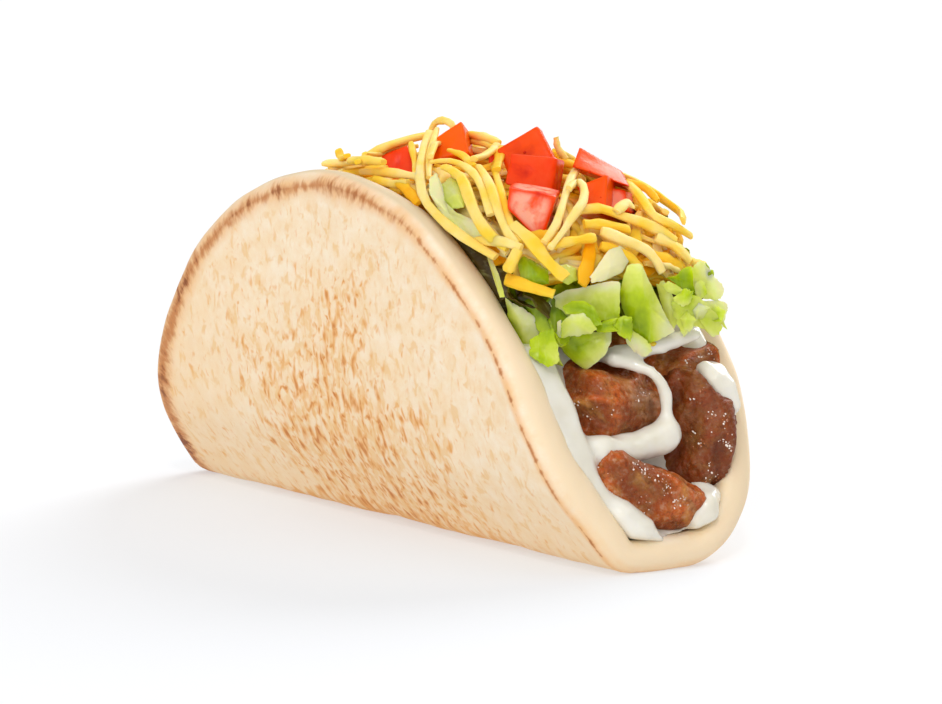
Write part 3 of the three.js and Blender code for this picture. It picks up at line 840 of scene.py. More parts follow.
@dataclass(frozen=True)
class Heap:
    """The heap's surface, which the cheese and the lettuce follow."""

    fold: Fold
    centre_z: float = 38.0
    half_length: float = 61.0
    rise: float = 33.0
    back_share: float = 0.66
    squareness: float = 3.0
    crown: float = 2.3
    edge_inset: float = 2.0
    near_overhang: float = 0.35
    far_overhang: float = 0.85

    def point(self, along: float, across: float, depth: float = 0.0) -> Vector:
        """Find a point of the heap.

        Args:
            along: From -1 at the back mouth to 1 at the front mouth.
            across: From -1 at the near flap to 1 at the far flap.
            depth: How far under the surface.

        Returns:
            The point.
        """
        along = clamp(along, -1.0, 1.0)
        across = clamp(across, -1.0, 1.0)
        power = 2 / self.squareness
        angle = math.pi / 2 * (1 - along)
        crest_x = self.half_length * math.copysign(abs(math.cos(angle)) ** power, along)
        drop = lerp(1.0, self.back_share, eased(-crest_x, 4.0, 50.0))
        crest_z = self.centre_z + self.rise * drop * abs(math.sin(angle)) ** power

        flap = Flap.NEAR if across < 0 else Flap.FAR
        half_across, half_along = self.fold.across / 2, self.fold.along / 2
        lowest = math.asin(self.fold.inner_wall(flap, self.centre_z)[1] / half_across)
        rim_angle = math.pi / 2 - (math.pi / 2 - lowest) * along
        edge_s = (half_across - self.edge_inset) * math.sin(rim_angle)
        spill = self.near_overhang if across < 0 else self.far_overhang
        overhang = eased(crest_x, 12.0, 52.0) * spill
        edge_x = lerp((half_along - self.edge_inset) * math.cos(rim_angle), crest_x, overhang)
        wall_z = next(row[0] for row in self.fold.inner_walls[flap] if row[2] >= edge_s)
        edge_z = lerp(wall_z, crest_z, overhang / 2)

        crown = math.sqrt(max(0.0, 1 - abs(across) ** lerp(self.crown, 2 * self.crown, overhang)))
        x, z = lerp(edge_x, crest_x, crown), lerp(edge_z, crest_z, crown)
        left = 1 - depth / max(math.hypot(x, z - self.centre_z), 1e-6)
        z = self.centre_z + (z - self.centre_z) * left
        return Vector((x * left, self.fold.pocket_y(across, z), z))

    def outward(self, along: float, across: float) -> Vector:
        """Return the direction straight out of the heap's surface."""
        step = 0.02
        one = self.point(along + step, across) - self.point(along - step, across)
        two = self.point(along, across + step) - self.point(along, across - step)
        normal = one.cross(two)
        if normal.length < 1e-6:
            return UP.copy()
        normal.normalize()
        here = self.point(along, across)
        away = Vector((here.x, 0.0, here.z - self.centre_z))
        return normal if normal.dot(away) > 0 else -normal

    def worth(self, along: float, across: float) -> Pair:
        """Return how far a whole step along and one across would lead at a point."""
        step = 0.02
        one = self.point(along + step, across) - self.point(along - step, across)
        two = self.point(along, across + step) - self.point(along, across - step)
        return max(one.length / step / 2, 40.0), max(two.length / step / 2, 15.0)

    @cached_property
    def surface(self) -> BVHTree:
        """The heap's surface as a mesh that rays can hit."""
        columns, rows = 72, 28
        points = [
            self.point(lerp(-0.96, 0.96, i / columns), lerp(-0.98, 0.98, j / rows))
            for i in range(columns + 1)
            for j in range(rows + 1)
        ]
        faces = [
            (a, a + 1, a + rows + 2, a + rows + 1)
            for i in range(columns)
            for j in range(rows)
            for a in [i * (rows + 1) + j]
        ]
        return BVHTree.FromPolygons(points, faces)

    def core(self, reach: Pair, depth: float, thickness: float) -> Form:
        """Model a plain layer that follows the heap, for what is hidden under loose pieces.

        Args:
            reach: How far along it goes at the near and at the far flap.
            depth: How far its upper face lies under the heap's surface.
            thickness: Its thickness.

        Returns:
            The layer.
        """
        form = fine_cube(15)
        for vert in form.verts:
            u, v, t = vert.co
            out = u * lerp(reach[0], reach[1], (v + 1) / 2)
            vert.co = self.point(out, 0.88 * v, depth + (1 - t) / 2 * thickness)
        return form


@dataclass(frozen=True)
class PhotoView:
    """The camera's place, and what of the taco it sees at a point of its picture."""

    width: float = 942.0
    height: float = 704.0
    azimuth: float = 55.1
    elevation: float = 7.7
    distance: float = 900.0
    lens: float = 178.14
    sensor: float = 36.0
    target: Point = (11.92, 0.0, 33.69)

    @cached_property
    def back(self) -> Vector:
        """The direction from the taco to the camera."""
        turn, lift = math.radians(self.azimuth), math.radians(self.elevation)
        return Vector((math.sin(turn) * math.cos(lift), -math.cos(turn) * math.cos(lift), math.sin(lift)))

    @cached_property
    def right(self) -> Vector:
        """The direction to the picture's right."""
        turn = math.radians(self.azimuth)
        return Vector((math.cos(turn), math.sin(turn), 0.0))

    @cached_property
    def eye(self) -> Vector:
        """The camera's place."""
        return Vector(self.target) + self.back * self.distance

    def ray(self, px: float, py: float) -> Vector:
        """Return the direction in which a point of the picture lies."""
        focal = self.lens / self.sensor * self.width
        up = self.back.cross(self.right)
        across, down = (px - self.width / 2) / focal, (py - self.height / 2) / focal
        return (self.right * across - up * down - self.back).normalized()

    def at_y(self, px: float, py: float, y: float) -> Vector:
        """Return the place at a point of the picture that has a given y."""
        aim = self.ray(px, py)
        return self.eye + aim * ((y - self.eye.y) / aim.y)

    def distance_to(self, place: Vector) -> float:
        """Return how far in front of the camera a place lies."""
        return (self.eye - place).dot(self.back)

    def at_distance(self, px: float, py: float, distance: float) -> Vector:
        """Return the place at a point of the picture that is a distance in front of the camera."""
        aim = self.ray(px, py)
        return self.eye - aim * (distance / aim.dot(self.back))

    def on_heap(self, heap: Heap, px: float, py: float, lift: float) -> tuple[Vector, Vector]:
        """Find the place on the heap at a point of the picture.

        Args:
            heap: The heap.
            px: The point's distance from the picture's left edge.
            py: Its distance from the top edge.
            lift: How far over the heap's surface the place is.

        Returns:
            The place and the direction out of the heap there.
        """
        aim = self.ray(px, py)
        hit, normal, _, _ = heap.surface.ray_cast(self.eye, aim)
        if hit is None:
            tried = range(800, 1000, 2)  # millimetres from the camera
            nearest = min(
                (self.eye + aim * far for far in tried),
                key=lambda place: heap.surface.find_nearest(place)[3] + (place - self.eye).length / 20,
            )
            hit, normal, _, _ = heap.surface.find_nearest(nearest)
            outward = (nearest - hit).normalized()
            return nearest, outward
        if normal.dot(aim) > 0:
            normal = -normal
        for _ in range(3):
            hit = hit + normal * lift
            gap = (hit - self.eye).dot(aim)
            hit = self.eye + aim * gap
            base, normal, _, _ = heap.surface.find_nearest(hit)
            if normal.dot(self.back) < 0:
                normal = -normal
            hit = base
        return hit + normal * lift, normal


# Loose strips


@dataclass(frozen=True)
class Strip:
    """A soft strip, swept along a line of points."""

    line: tuple[Vector, ...]
    out: tuple[Vector, ...]
    width: float
    thickness: float
    twist: float = 0.0
    roll: float = 0.0
    taper: float = 0.25
    kind: float = 0.5
    uneven: float = 0.45

    def place(self, across: float, up: float, share: float) -> Vector:
        """Place a point of the strip's section.

        Args:
            across: From -1 to 1 over its width.
            up: From -1 to 1 over its thickness.
            share: From 0 to 1 along it.

        Returns:
            The point.
        """
        count = len(self.line) - 1
        at = min(int(share * count), count - 1)
        part = share * count - at
        before = self.line[max(at - 1, 0)]
        here, there = self.line[at], self.line[at + 1]
        after = self.line[min(at + 2, count)]
        point = 0.5 * (
            2 * here
            + (there - before) * part
            + (2 * before - 5 * here + 4 * there - after) * part**2
            + (3 * here - before - 3 * there + after) * part**3
        )
        tangent = (there - here).lerp((after - before) / 2, 0.5).normalized()
        out = self.out[at].lerp(self.out[at + 1], part)
        side = out.cross(tangent).normalized()
        top = tangent.cross(side)
        turn = self.roll + self.twist * (share - 0.5)
        uneven = 1 + self.uneven * noise.noise(Vector((3.5 * share, 40 * self.kind, 9 * self.width)))
        end = uneven * (1 - self.taper * abs(2 * share - 1) ** 4)
        a, b = across * self.width / 2 * end, up * self.thickness / 2 * end
        return (
            point
            + side * (a * math.cos(turn) - b * math.sin(turn))
            + top * (a * math.sin(turn) + b * math.cos(turn))
        )


@dataclass
class StripMaker:
    """Adds strips to one mesh, each from the same softened bar."""

    sides: int = 8
    stations: int = 10

    def __post_init__(self) -> None:
        """Model the bar that every strip is bent from."""
        bar = bmesh.new()
        bmesh.ops.create_cone(bar, cap_ends=True, segments=self.sides, radius1=1.0, radius2=1.0, depth=1.0)
        turn = Matrix.Rotation(math.pi / self.sides, 3, "Z")
        bmesh.ops.rotate(bar, cent=(0, 0, 0), matrix=turn, verts=bar.verts)
        lengthways = [edge for edge in bar.edges if abs(edge.verts[0].co.z - edge.verts[1].co.z) > 0.5]
        bmesh.ops.subdivide_edges(bar, edges=lengthways, cuts=self.stations - 1)
        for vert in bar.verts:
            for axis in (0, 1):
                vert.co[axis] = math.copysign(abs(vert.co[axis]) ** 0.72, vert.co[axis])
        self._bar = bpy.data.meshes.new("softened_bar")
        bar.to_mesh(self._bar)
        bar.free()

    def add(self, form: Form, strip: Strip) -> None:
        """Add a strip to a mesh, with its kind in the kind attribute."""
        layer = form.verts.layers.float.get("kind") or form.verts.layers.float.new("kind")
        start = len(form.verts)
        form.from_mesh(self._bar)
        form.verts.ensure_lookup_table()
        for i in range(start, len(form.verts)):
            vert = form.verts[i]
            across, up, z = vert.co
            vert.co = strip.place(across, up, z + 0.5)
            vert[layer] = strip.kind


# The filling


@dataclass(frozen=True)
class Lump:
    """A lump with soft corners: its middle, half sizes, turn in degrees and unevenness."""

    centre: Point
    half: Point
    turn: Point = (0.0, 0.0, 0.0)
    seed: int = 1
    corners: float = 0.7
    lumpiness: float = 0.09

    def rotation(self) -> Matrix:
        """Return the lump's turn: about x first, then y, then z, each on the turned axes."""
        x, y, z = (math.radians(angle) for angle in self.turn)
        return Matrix.Rotation(x, 3, "X") @ Matrix.Rotation(y, 3, "Y") @ Matrix.Rotation(z, 3, "Z")

    def waves(self) -> list[tuple[Vector, float, float]]:
        """Return the swellings of the surface: direction, pace and phase."""
        rng = random.Random(self.seed)
        result = []
        for _ in range(5):
            direction = Vector((rng.random() - 0.5, rng.random() - 0.5, rng.random() - 0.5)).normalized()
            result.append((direction, 2.5 + 3.5 * rng.random(), 2 * math.pi * rng.random()))
        return result

    def unit_point(self, unit: Vector, waves: list[tuple[Vector, float, float]]) -> Vector:
        """Return the point of the lump, before its turn, in a direction from its middle."""
        swelling = sum(math.sin(pace * unit.dot(way) + phase) for way, pace, phase in waves)
        size = 1 + self.lumpiness * swelling / 2
        soft = Vector([math.copysign(abs(part) ** self.corners, part) * size for part in unit])
        return Vector([soft[i] * self.half[i] for i in range(3)])


@dataclass(frozen=True)
class SteakStrip:
    """One strip of steak, the CAD node that it stands for, and its crumbs of crust.

    Bare is how much cut meat shows at its right end, and shade how dark it is. A cluster of
    crumbs is its place in the picture, its spread in pixels and their number.
    """

    node: str
    lump: Lump
    grain_turn: float = 0.0
    relief: float = 1.0
    bare: float = 0.4
    crumbs: tuple[tuple[float, float, float, int], ...] = ()
    shade: float = 0.0


STEAK_STRIPS = (
    SteakStrip(
        "steak_front_upper", Lump((51, 0.4, 29.8), (12.5, 11.4, 7.4), (-3, 8, 4), 11, 0.62), 10, 0.9, 0.9,
        (
            (577, 403, 4, 4), (581, 392, 1, 1), (612, 409, 2, 2), (636, 401, 2, 3), (645, 393, 8, 6),
            (592, 415, 12, 7),
        ),
    ),
    SteakStrip(
        "steak_front_lower", Lump((61, 1.4, 12.7), (12.5, 12.8, 6.6), (-27, 4, -6), 23, 0.66), 30, 0.8,
        0.55,
        (
            (643, 468, 12, 30), (658, 480, 9, 16), (668, 490, 6, 12), (684, 500, 6, 12), (676, 503, 5, 8),
            (650, 496, 14, 9), (598, 468, 2, 3), (620, 480, 2, 2), (610, 490, 4, 2),
        ),
    ),
    SteakStrip(
        "steak_front_far", Lump((57, 15.6, 22.8), (12, 7.6, 11.8), (-8, 4, 10), 37, 0.66), 75, 1.2, 0.2,
        (
            (701, 392, 4, 7), (690, 400, 3, 3), (711, 415, 6, 8), (725, 422, 8, 7), (730, 446, 7, 12),
            (724, 442, 5, 6), (690, 437, 8, 7), (701, 443, 5, 6), (708, 465, 3, 3), (714, 476, 6, 8),
            (706, 481, 6, 8), (720, 430, 14, 8),
        ),
        0.62,
    ),
    SteakStrip(
        "steak_front_top", Lump((48.6, 18.4, 37.2), (12, 8.4, 3.9), (14, 8, 0), 41, 0.62), 15, 0.9, 0.3,
        ((688, 362, 4, 6), (698, 356, 4, 6), (705, 350, 5, 9), (713, 348, 6, 12), (714, 356, 6, 5)),
    ),
    SteakStrip("steak_front_small", Lump((52.5, 3.5, 39.4), (6, 4.5, 2.6), (0, 20, 0), 47), 0, 0.7),
    SteakStrip("steak_back_upper", Lump((-48, 5, 32), (13, 11, 6.8), (-6, -8, -6), 53), -10),
    SteakStrip("steak_back_lower", Lump((-58, 4.5, 14.6), (12, 10, 5.4), (24, -4, 8), 61), 25, 1.2),
    SteakStrip("steak_back_near", Lump((-54, -12, 25), (12, 5.4, 9.8), (10, -4, 8), 67), 80, 1.2),
)


@dataclass
class Steak:
    """The glazed steak strips that show at the two mouths, and the crumbs of crust on them."""

    fold: Fold
    view: PhotoView
    strips: tuple[SteakStrip, ...] = STEAK_STRIPS
    finish: GlazedMeat = field(default_factory=GlazedMeat)
    drop_finish: GlazeDrop = field(default_factory=GlazeDrop)
    back_crumbs: int = 60
    crumb_size: Pair = (0.08, 0.24)

    def build(self) -> list[Piece]:
        """Model every strip and return the pieces."""
        material = self.finish.material()
        crumbs = bmesh.new()
        pieces = []
        for strip in self.strips:
            form = self._sculpted(strip)
            self._add_crumbs(crumbs, form, strip)
            pieces.append(finished(f"{strip.node}_seared", form, material, Slot.STEAK, [strip.node]))
        pieces.append(finished("glaze_crumbs_and_sparkles", crumbs, self.drop_finish.material(), Slot.STEAK))
        return pieces

    def _sculpted(self, strip: SteakStrip) -> Form:
        """Model one strip, with fibres, folds and crags.

        Args:
            strip: The strip.

        Returns:
            Its mesh, with the grain, bare, painted hollow shade and shade attributes.
        """
        form = bmesh.new()
        bmesh.ops.create_icosphere(form, subdivisions=6 if strip.crumbs else 5, radius=1.0)
        grain = form.verts.layers.float_vector.new("grain")
        bare = form.verts.layers.float.new("bare")
        hollow_shade = form.verts.layers.float.new("hollow_shade")
        shade = form.verts.layers.float.new("shade")
        lump, waves = strip.lump, strip.lump.waves()
        turn = lump.rotation()
        fibre_turn = Matrix.Rotation(math.radians(strip.grain_turn), 3, "X")
        shift = Vector((1.3 * lump.seed, 0.0, 0.0))
        for vert in form.verts:
            unit = vert.co.normalized()
            local = lump.unit_point(unit, waves)
            along = fibre_turn @ local
            fibres = noise.noise(Vector((along.x * 0.35, along.y * 0.16, along.z)) / 1.6 + shift)
            crests = 1 - 2.2 * abs(noise.noise(Vector((along.x, along.y * 0.6, along.z)) / 6.5 + shift * 2))
            dents = noise.noise(local / 4.0 + shift * 3)
            crust = eased(noise.noise(local / 6.0 + shift * 4), -0.25, 0.15)
            crags = noise.noise(local / 1.1 + shift * 5) + 0.6 * noise.noise(local / 0.55 + shift * 6)
            lift = crests + 0.7 * dents + 0.25 * fibres + 0.36 * crust * crags - 0.7
            outward = Vector([unit[i] / lump.half[i] for i in range(3)]).normalized()
            local += outward * strip.relief * lift * min(1.0, min(lump.half) / 5)
            place = turn @ local
            vert[grain] = along
            rightwards = place.dot(self.view.right) / max(lump.half)
            vert[bare] = strip.bare * eased(rightwards, 0.1, 0.85) - 0.3 * crust
            vert[shade] = strip.shade
            # Painted shade, deepest where the surface dips.
            vert[hollow_shade] = eased(crests + 0.6 * dents + 0.3 * fibres, 0.9, -0.1)
            vert.co = self.fold.kept_inside(place + Vector(lump.centre), 0.1)
        return form

    def _add_crumbs(self, crumbs: Form, form: Form, strip: SteakStrip) -> None:
        """Add crumbs of crust to a strip, where the picture shows them or over its back end."""
        rng = random.Random(strip.lump.seed)
        form.normal_update()
        surface = BVHTree.FromBMesh(form)
        spots = []
        for px, py, spread, count in strip.crumbs:
            for _ in range(count):
                aim = self.view.ray(px + rng.gauss(0, spread / 2), py + rng.gauss(0, spread / 2))
                place, normal, _, _ = surface.ray_cast(self.view.eye, aim)
                if place is not None:
                    spots.append((place, normal))
        if not strip.crumbs and strip.lump.centre[0] < 0:
            shown = [v for v in form.verts if v.normal.x < -0.1 and v.normal.z > -0.5]
            spots = [(v.co.copy(), v.normal.copy()) for v in rng.sample(shown, self.back_crumbs)]
        for place, normal in spots:
            size = rng.uniform(*self.crumb_size)
            spot = standing_on(place, normal)
            shape = Matrix.Diagonal((size * rng.uniform(0.8, 1.6), size, size * 0.8, 1.0))
            bmesh.ops.create_icosphere(crumbs, subdivisions=1, radius=1.0, matrix=spot @ shape)


@dataclass(frozen=True)
class CreamRidge:
    """A ridge of cream at the front mouth, along places in the picture.

    A place is its distance from the picture's left and top edges in pixels, its y on the
    taco, and the ridge's radius there.
    """

    places: tuple[tuple[float, float, float, float], ...]
    beads_between: int = 3

    def beads(self, view: PhotoView) -> Iterator[tuple[Vector, float]]:
        """Yield the middle and the radius of each bead of the ridge."""
        ends = [(view.at_y(px, py, y), radius) for px, py, y, radius in self.places]
        yield ends[0]
        for (start, radius), (end, next_radius) in zip(ends, ends[1:]):
            for i in range(1, self.beads_between + 1):
                share = i / self.beads_between
                yield start.lerp(end, share), lerp(radius, next_radius, share)


CREAM_RIDGES = (
    CreamRidge((
        (580, 449, -11.5, 2.2), (600, 451, -8, 2.9), (622, 450, -3, 2.9), (642, 445, 1.5, 2.8),
        (655, 441, 4.5, 3), (665, 436, 6.5, 3.2),
    )),
    CreamRidge((
        (665, 428, 6.5, 1.8), (667, 410, 7, 1.1), (666, 396, 7, 1.3), (661, 382, 6, 1.1),
        (651, 371, 4.5, 1.1), (630, 364, 2, 1.3), (612, 359, -1, 1.5),
    )),
    CreamRidge((
        (686, 474, 13, 1.8), (695, 488, 13, 2.4), (704, 499, 12.5, 2.8), (705, 509, 11, 2.6),
        (695, 518, 9, 2.2),
    )),
    CreamRidge((
        (607, 505, -9.5, 2.4), (622, 516, -7.5, 2.8), (638, 529, -4.5, 2.8), (648, 536, -2.5, 2.2),
    )),
    CreamRidge((
        (712, 374, 19.5, 2.6), (719, 385, 19.8, 2.8), (725, 398, 20.1, 2.6), (729, 411, 20.4, 2),
        (732, 423, 20.6, 1.2),
    )),
    CreamRidge(((706, 370, 17.5, 1.8), (713, 380, 18, 2.2), (719, 392, 18.6, 2))),
    CreamRidge((
        (598, 356, -2, 1.4), (620, 353, 1.5, 1.6), (640, 350, 4.5, 1.6), (656, 346, 7, 1.7),
        (670, 341, 10, 1.7), (684, 337, 13, 1.5), (694, 334, 15, 1.3),
    )),
)

BACK_DOLLOPS = (
    Lump((-57, 16.5, 33), (6, 4, 8)), Lump((-62, 3, 23), (6.5, 11, 3.6)), Lump((-57, -8, 35.5), (5, 7, 4)),
    Lump((-65.5, -6, 12), (5.5, 5, 4)), Lump((-66.5, 12, 12.5), (5, 4, 3.6)),
    Lump((-60, -16.5, 30), (4.5, 3, 7)), Lump((-58, 20.5, 22), (5, 3, 8)),
)


@dataclass
class SourCream:
    """The cream in the pocket, with soft ridges round the steak at both mouths."""

    fold: Fold
    view: PhotoView
    finish: WetCream = field(default_factory=WetCream)
    top: float = 43.0
    recess: float = 8.5
    side_recess: float = 1.0
    near_drop: float = 2.0  # how much lower it is at the near flap, in front
    voxel: float = 0.7
    ridges: tuple[CreamRidge, ...] = CREAM_RIDGES
    dollops: tuple[Lump, ...] = BACK_DOLLOPS

    def build(self) -> Piece:
        """Model the cream and return the piece."""
        form = self._core()
        for i, dollop in enumerate(self.dollops):
            self._add_lump(form, Lump(dollop.centre, dollop.half, dollop.turn, 300 + i, 0.9, 0.12))
        for i, ridge in enumerate(self.ridges):
            for j, (centre, radius) in enumerate(ridge.beads(self.view)):
                half = (radius * 1.15, radius, radius)
                self._add_lump(form, Lump(tuple(centre), half, (0.0, 0.0, 0.0), 20 * i + j, 0.95, 0.1))
        piece = finished("sour_cream_wet", form, self.finish.material(), Slot.CREAM, ["sour_cream"])
        remesh = piece.modifiers.new("blended", "REMESH")
        remesh.mode = "VOXEL"
        remesh.voxel_size = self.voxel * MM
        remesh.use_smooth_shade = True
        soften = piece.modifiers.new("softened", "SMOOTH")
        soften.factor = 0.6
        soften.iterations = 5
        apply_modifiers(piece)
        LOG.info("%s: %d faces after blending", piece.name, len(piece.data.polygons))
        return piece

    def _add_lump(self, form: Form, lump: Lump) -> None:
        """Add one soft lump of cream."""
        before = len(form.verts)
        bmesh.ops.create_icosphere(form, subdivisions=3, radius=1.0)
        waves, turn = lump.waves(), lump.rotation()
        for vert in list(form.verts)[before:]:
            point = lump.unit_point(vert.co.normalized(), waves)
            vert.co = self.fold.kept_inside(turn @ point + Vector(lump.centre))

    def _core(self) -> Form:
        """Model the cream that fills the pocket, short of both mouths but along the flaps."""
        form = fine_cube(25)
        floor = self.fold.thickness - 0.8
        for vert in form.verts:
            u, v, t = vert.co
            lower = self.near_drop * eased(-v, 0.2, 0.7) * eased(u, 0.2, 0.8)
            z = lerp(floor, self.top - lower, (t + 1) / 2)
            y = self.fold.pocket_y(1.02 * v, z)
            uneven = 1.2 * (waviness(Vector((0, y, z)), 7.0, u) + 0.4)
            near_width = lerp(2.4, 5.4, eased(z, 12.0, 30.0)) + 0.7 * waviness(Vector((0, 0, z)), 5.0)
            near_gap = y + self.fold.inner_wall(Flap.NEAR, z)[0]
            far_gap = self.fold.inner_wall(Flap.FAR, z)[0] - y
            at_near_flap = 1 - eased(near_gap, near_width, near_width + 4.4)
            at_far_flap = (1 - eased(far_gap, 3.0, 7.0)) * eased(z, 20.0, 28.0)
            at_floor = 0.75 * (1 - eased(z, floor + 1.0, floor + 4.0))
            recess = lerp(self.recess, self.side_recess, max(at_near_flap, at_far_flap, at_floor))
            short = recess * eased(self.fold.rim_x(z), 30.0, 70.0)
            vert.co = (u * (self.fold.rim_x(z) - short - uneven), y, z)
        return form


@dataclass(frozen=True)
class TornLeaf:
    """A torn piece of lettuce, by the spots round its edge and one in its middle.

    Each spot has its own green, from 0 for pale to 1 for deep green. The leaf swells towards
    the way that it faces, and is crinkled.
    """

    edge: tuple[tuple[Vector, float], ...]
    middle: tuple[Vector, float]
    facing: Vector
    belly: float = 0.8
    ragged: float = 0.15
    crinkle: float = 0.5
    seed: int = 1
    thickness: float = 0.4
    columns: int = 20

    @cached_property
    def lengths(self) -> list[float]:
        """How far round the edge each of its spots lies, and the whole way round."""
        total, result = 0.0, [0.0]
        for (here, _), (there, _) in zip(self.edge, self.edge[1:] + self.edge[:1]):
            total += (there - here).length
            result.append(total)
        return result

    def on_edge(self, share: float) -> tuple[Vector, float]:
        """Return the place and the green at a share of the way round the edge."""
        along = share % 1.0 * self.lengths[-1]
        at = max(i for i, length in enumerate(self.lengths[:-1]) if length <= along)
        part = (along - self.lengths[at]) / max(self.lengths[at + 1] - self.lengths[at], 1e-6)
        (here, green), (there, next_green) = self.edge[at], self.edge[(at + 1) % len(self.edge)]
        return here.lerp(there, part), lerp(green, next_green, part)

    def add_to(self, form: Form, kept: Callable[[Vector], Vector]) -> None:
        """Add the leaf to a mesh, with its green and leaf attributes.

        Args:
            form: The mesh.
            kept: Moves a point that would enter the bread.
        """
        sheet = bmesh.new()
        bmesh.ops.create_grid(sheet, x_segments=self.columns, y_segments=self.columns, size=1.0)
        green = sheet.verts.layers.float.new("green")
        leaf = sheet.verts.layers.float_vector.new("leaf")
        hanging = (UP - self.facing * UP.dot(self.facing)).normalized()
        sideways = hanging.cross(self.facing)
        for vert in sheet.verts:
            place, vert[green] = self._spot(vert.co.x, vert.co.y)
            vert[leaf] = Vector((place.dot(hanging), place.dot(sideways), 17.0 * self.seed))
            vert.co = kept(place)
        skin = bmesh.ops.extrude_face_region(sheet, geom=sheet.faces[:], use_keep_orig=True)
        back = [part for part in skin["geom"] if isinstance(part, bmesh.types.BMVert)]
        bmesh.ops.translate(sheet, vec=self.facing * -self.thickness, verts=back)
        bmesh.ops.recalc_face_normals(sheet, faces=sheet.faces)
        part = bpy.data.meshes.new("torn_leaf")
        sheet.to_mesh(part)
        sheet.free()
        form.from_mesh(part)
        bpy.data.meshes.remove(part)

    def _spot(self, u: float, v: float) -> tuple[Vector, float]:
        """Return the place and the green of a point of the grid, u and v being -1 to 1."""
        out = max(abs(u), abs(v))
        centre, centre_green = self.middle
        if out == 0:
            return centre + self.facing * self.belly, centre_green
        if abs(v) >= abs(u):
            share = (u / out + 1) / 8 if v < 0 else 0.5 + (1 - u / out) / 8
        else:
            share = 0.25 + (v / out + 1) / 8 if u > 0 else 0.75 + (1 - v / out) / 8
        rim, rim_green = self.on_edge(share)
        seed = Vector((3.7 * self.seed, 0.0, 0.0))
        torn = abs(noise.noise(rim / 1.6 + seed)) - 0.6 * abs(noise.noise(rim / 0.7 + seed))
        place = centre.lerp(rim, out * (1 + self.ragged * torn * out**3))
        folds = noise.noise(place / 5.0 + seed) + 0.5 * (1 - 2 * abs(noise.noise(place / 3.0 - seed)))
        bend = self.belly * (1 - out * out) + self.crinkle * folds * (0.4 + 0.6 * out)
        return place + self.facing * bend, lerp(centre_green, rim_green, out**1.2)


Spot = tuple[float, float, float, float]


@dataclass(frozen=True)
class ShownLeaf:
    """A leaf that the photograph shows, by a spot in its middle and then spots round its edge.

    A spot is its distance from the picture's left and top edges in pixels, its y on the taco
    (or its lift over the heap, where the leaf lies on the heap), and its green in per cent.
    The greens paint light as well as the leaf's own colour: deeper green where a part lies in
    shade or in a gap, paler where it catches the light.
    """

    spots: tuple[Spot, ...]
    belly: float = 0.8
    ragged: float = 0.12
    on_heap: bool = False
    thickness: float = 0.4
    crinkle: float = 0.35
    columns: int = 26

    def torn(self, view: PhotoView, heap: Heap, seed: int) -> TornLeaf:
        """Return the leaf in its place on the taco.

        Args:
            view: The photograph's view.
            heap: The heap.
            seed: The seed of its torn edge.

        Returns:
            The leaf.
        """
        middle, *edge = [
            (view.on_heap(heap, *spot)[0] if self.on_heap else view.at_y(*spot), green / 100)
            for *spot, green in self.spots
        ]
        feel = (self.belly, self.ragged, self.crinkle)
        return TornLeaf(tuple(edge), middle, view.back, *feel, seed, self.thickness, self.columns)


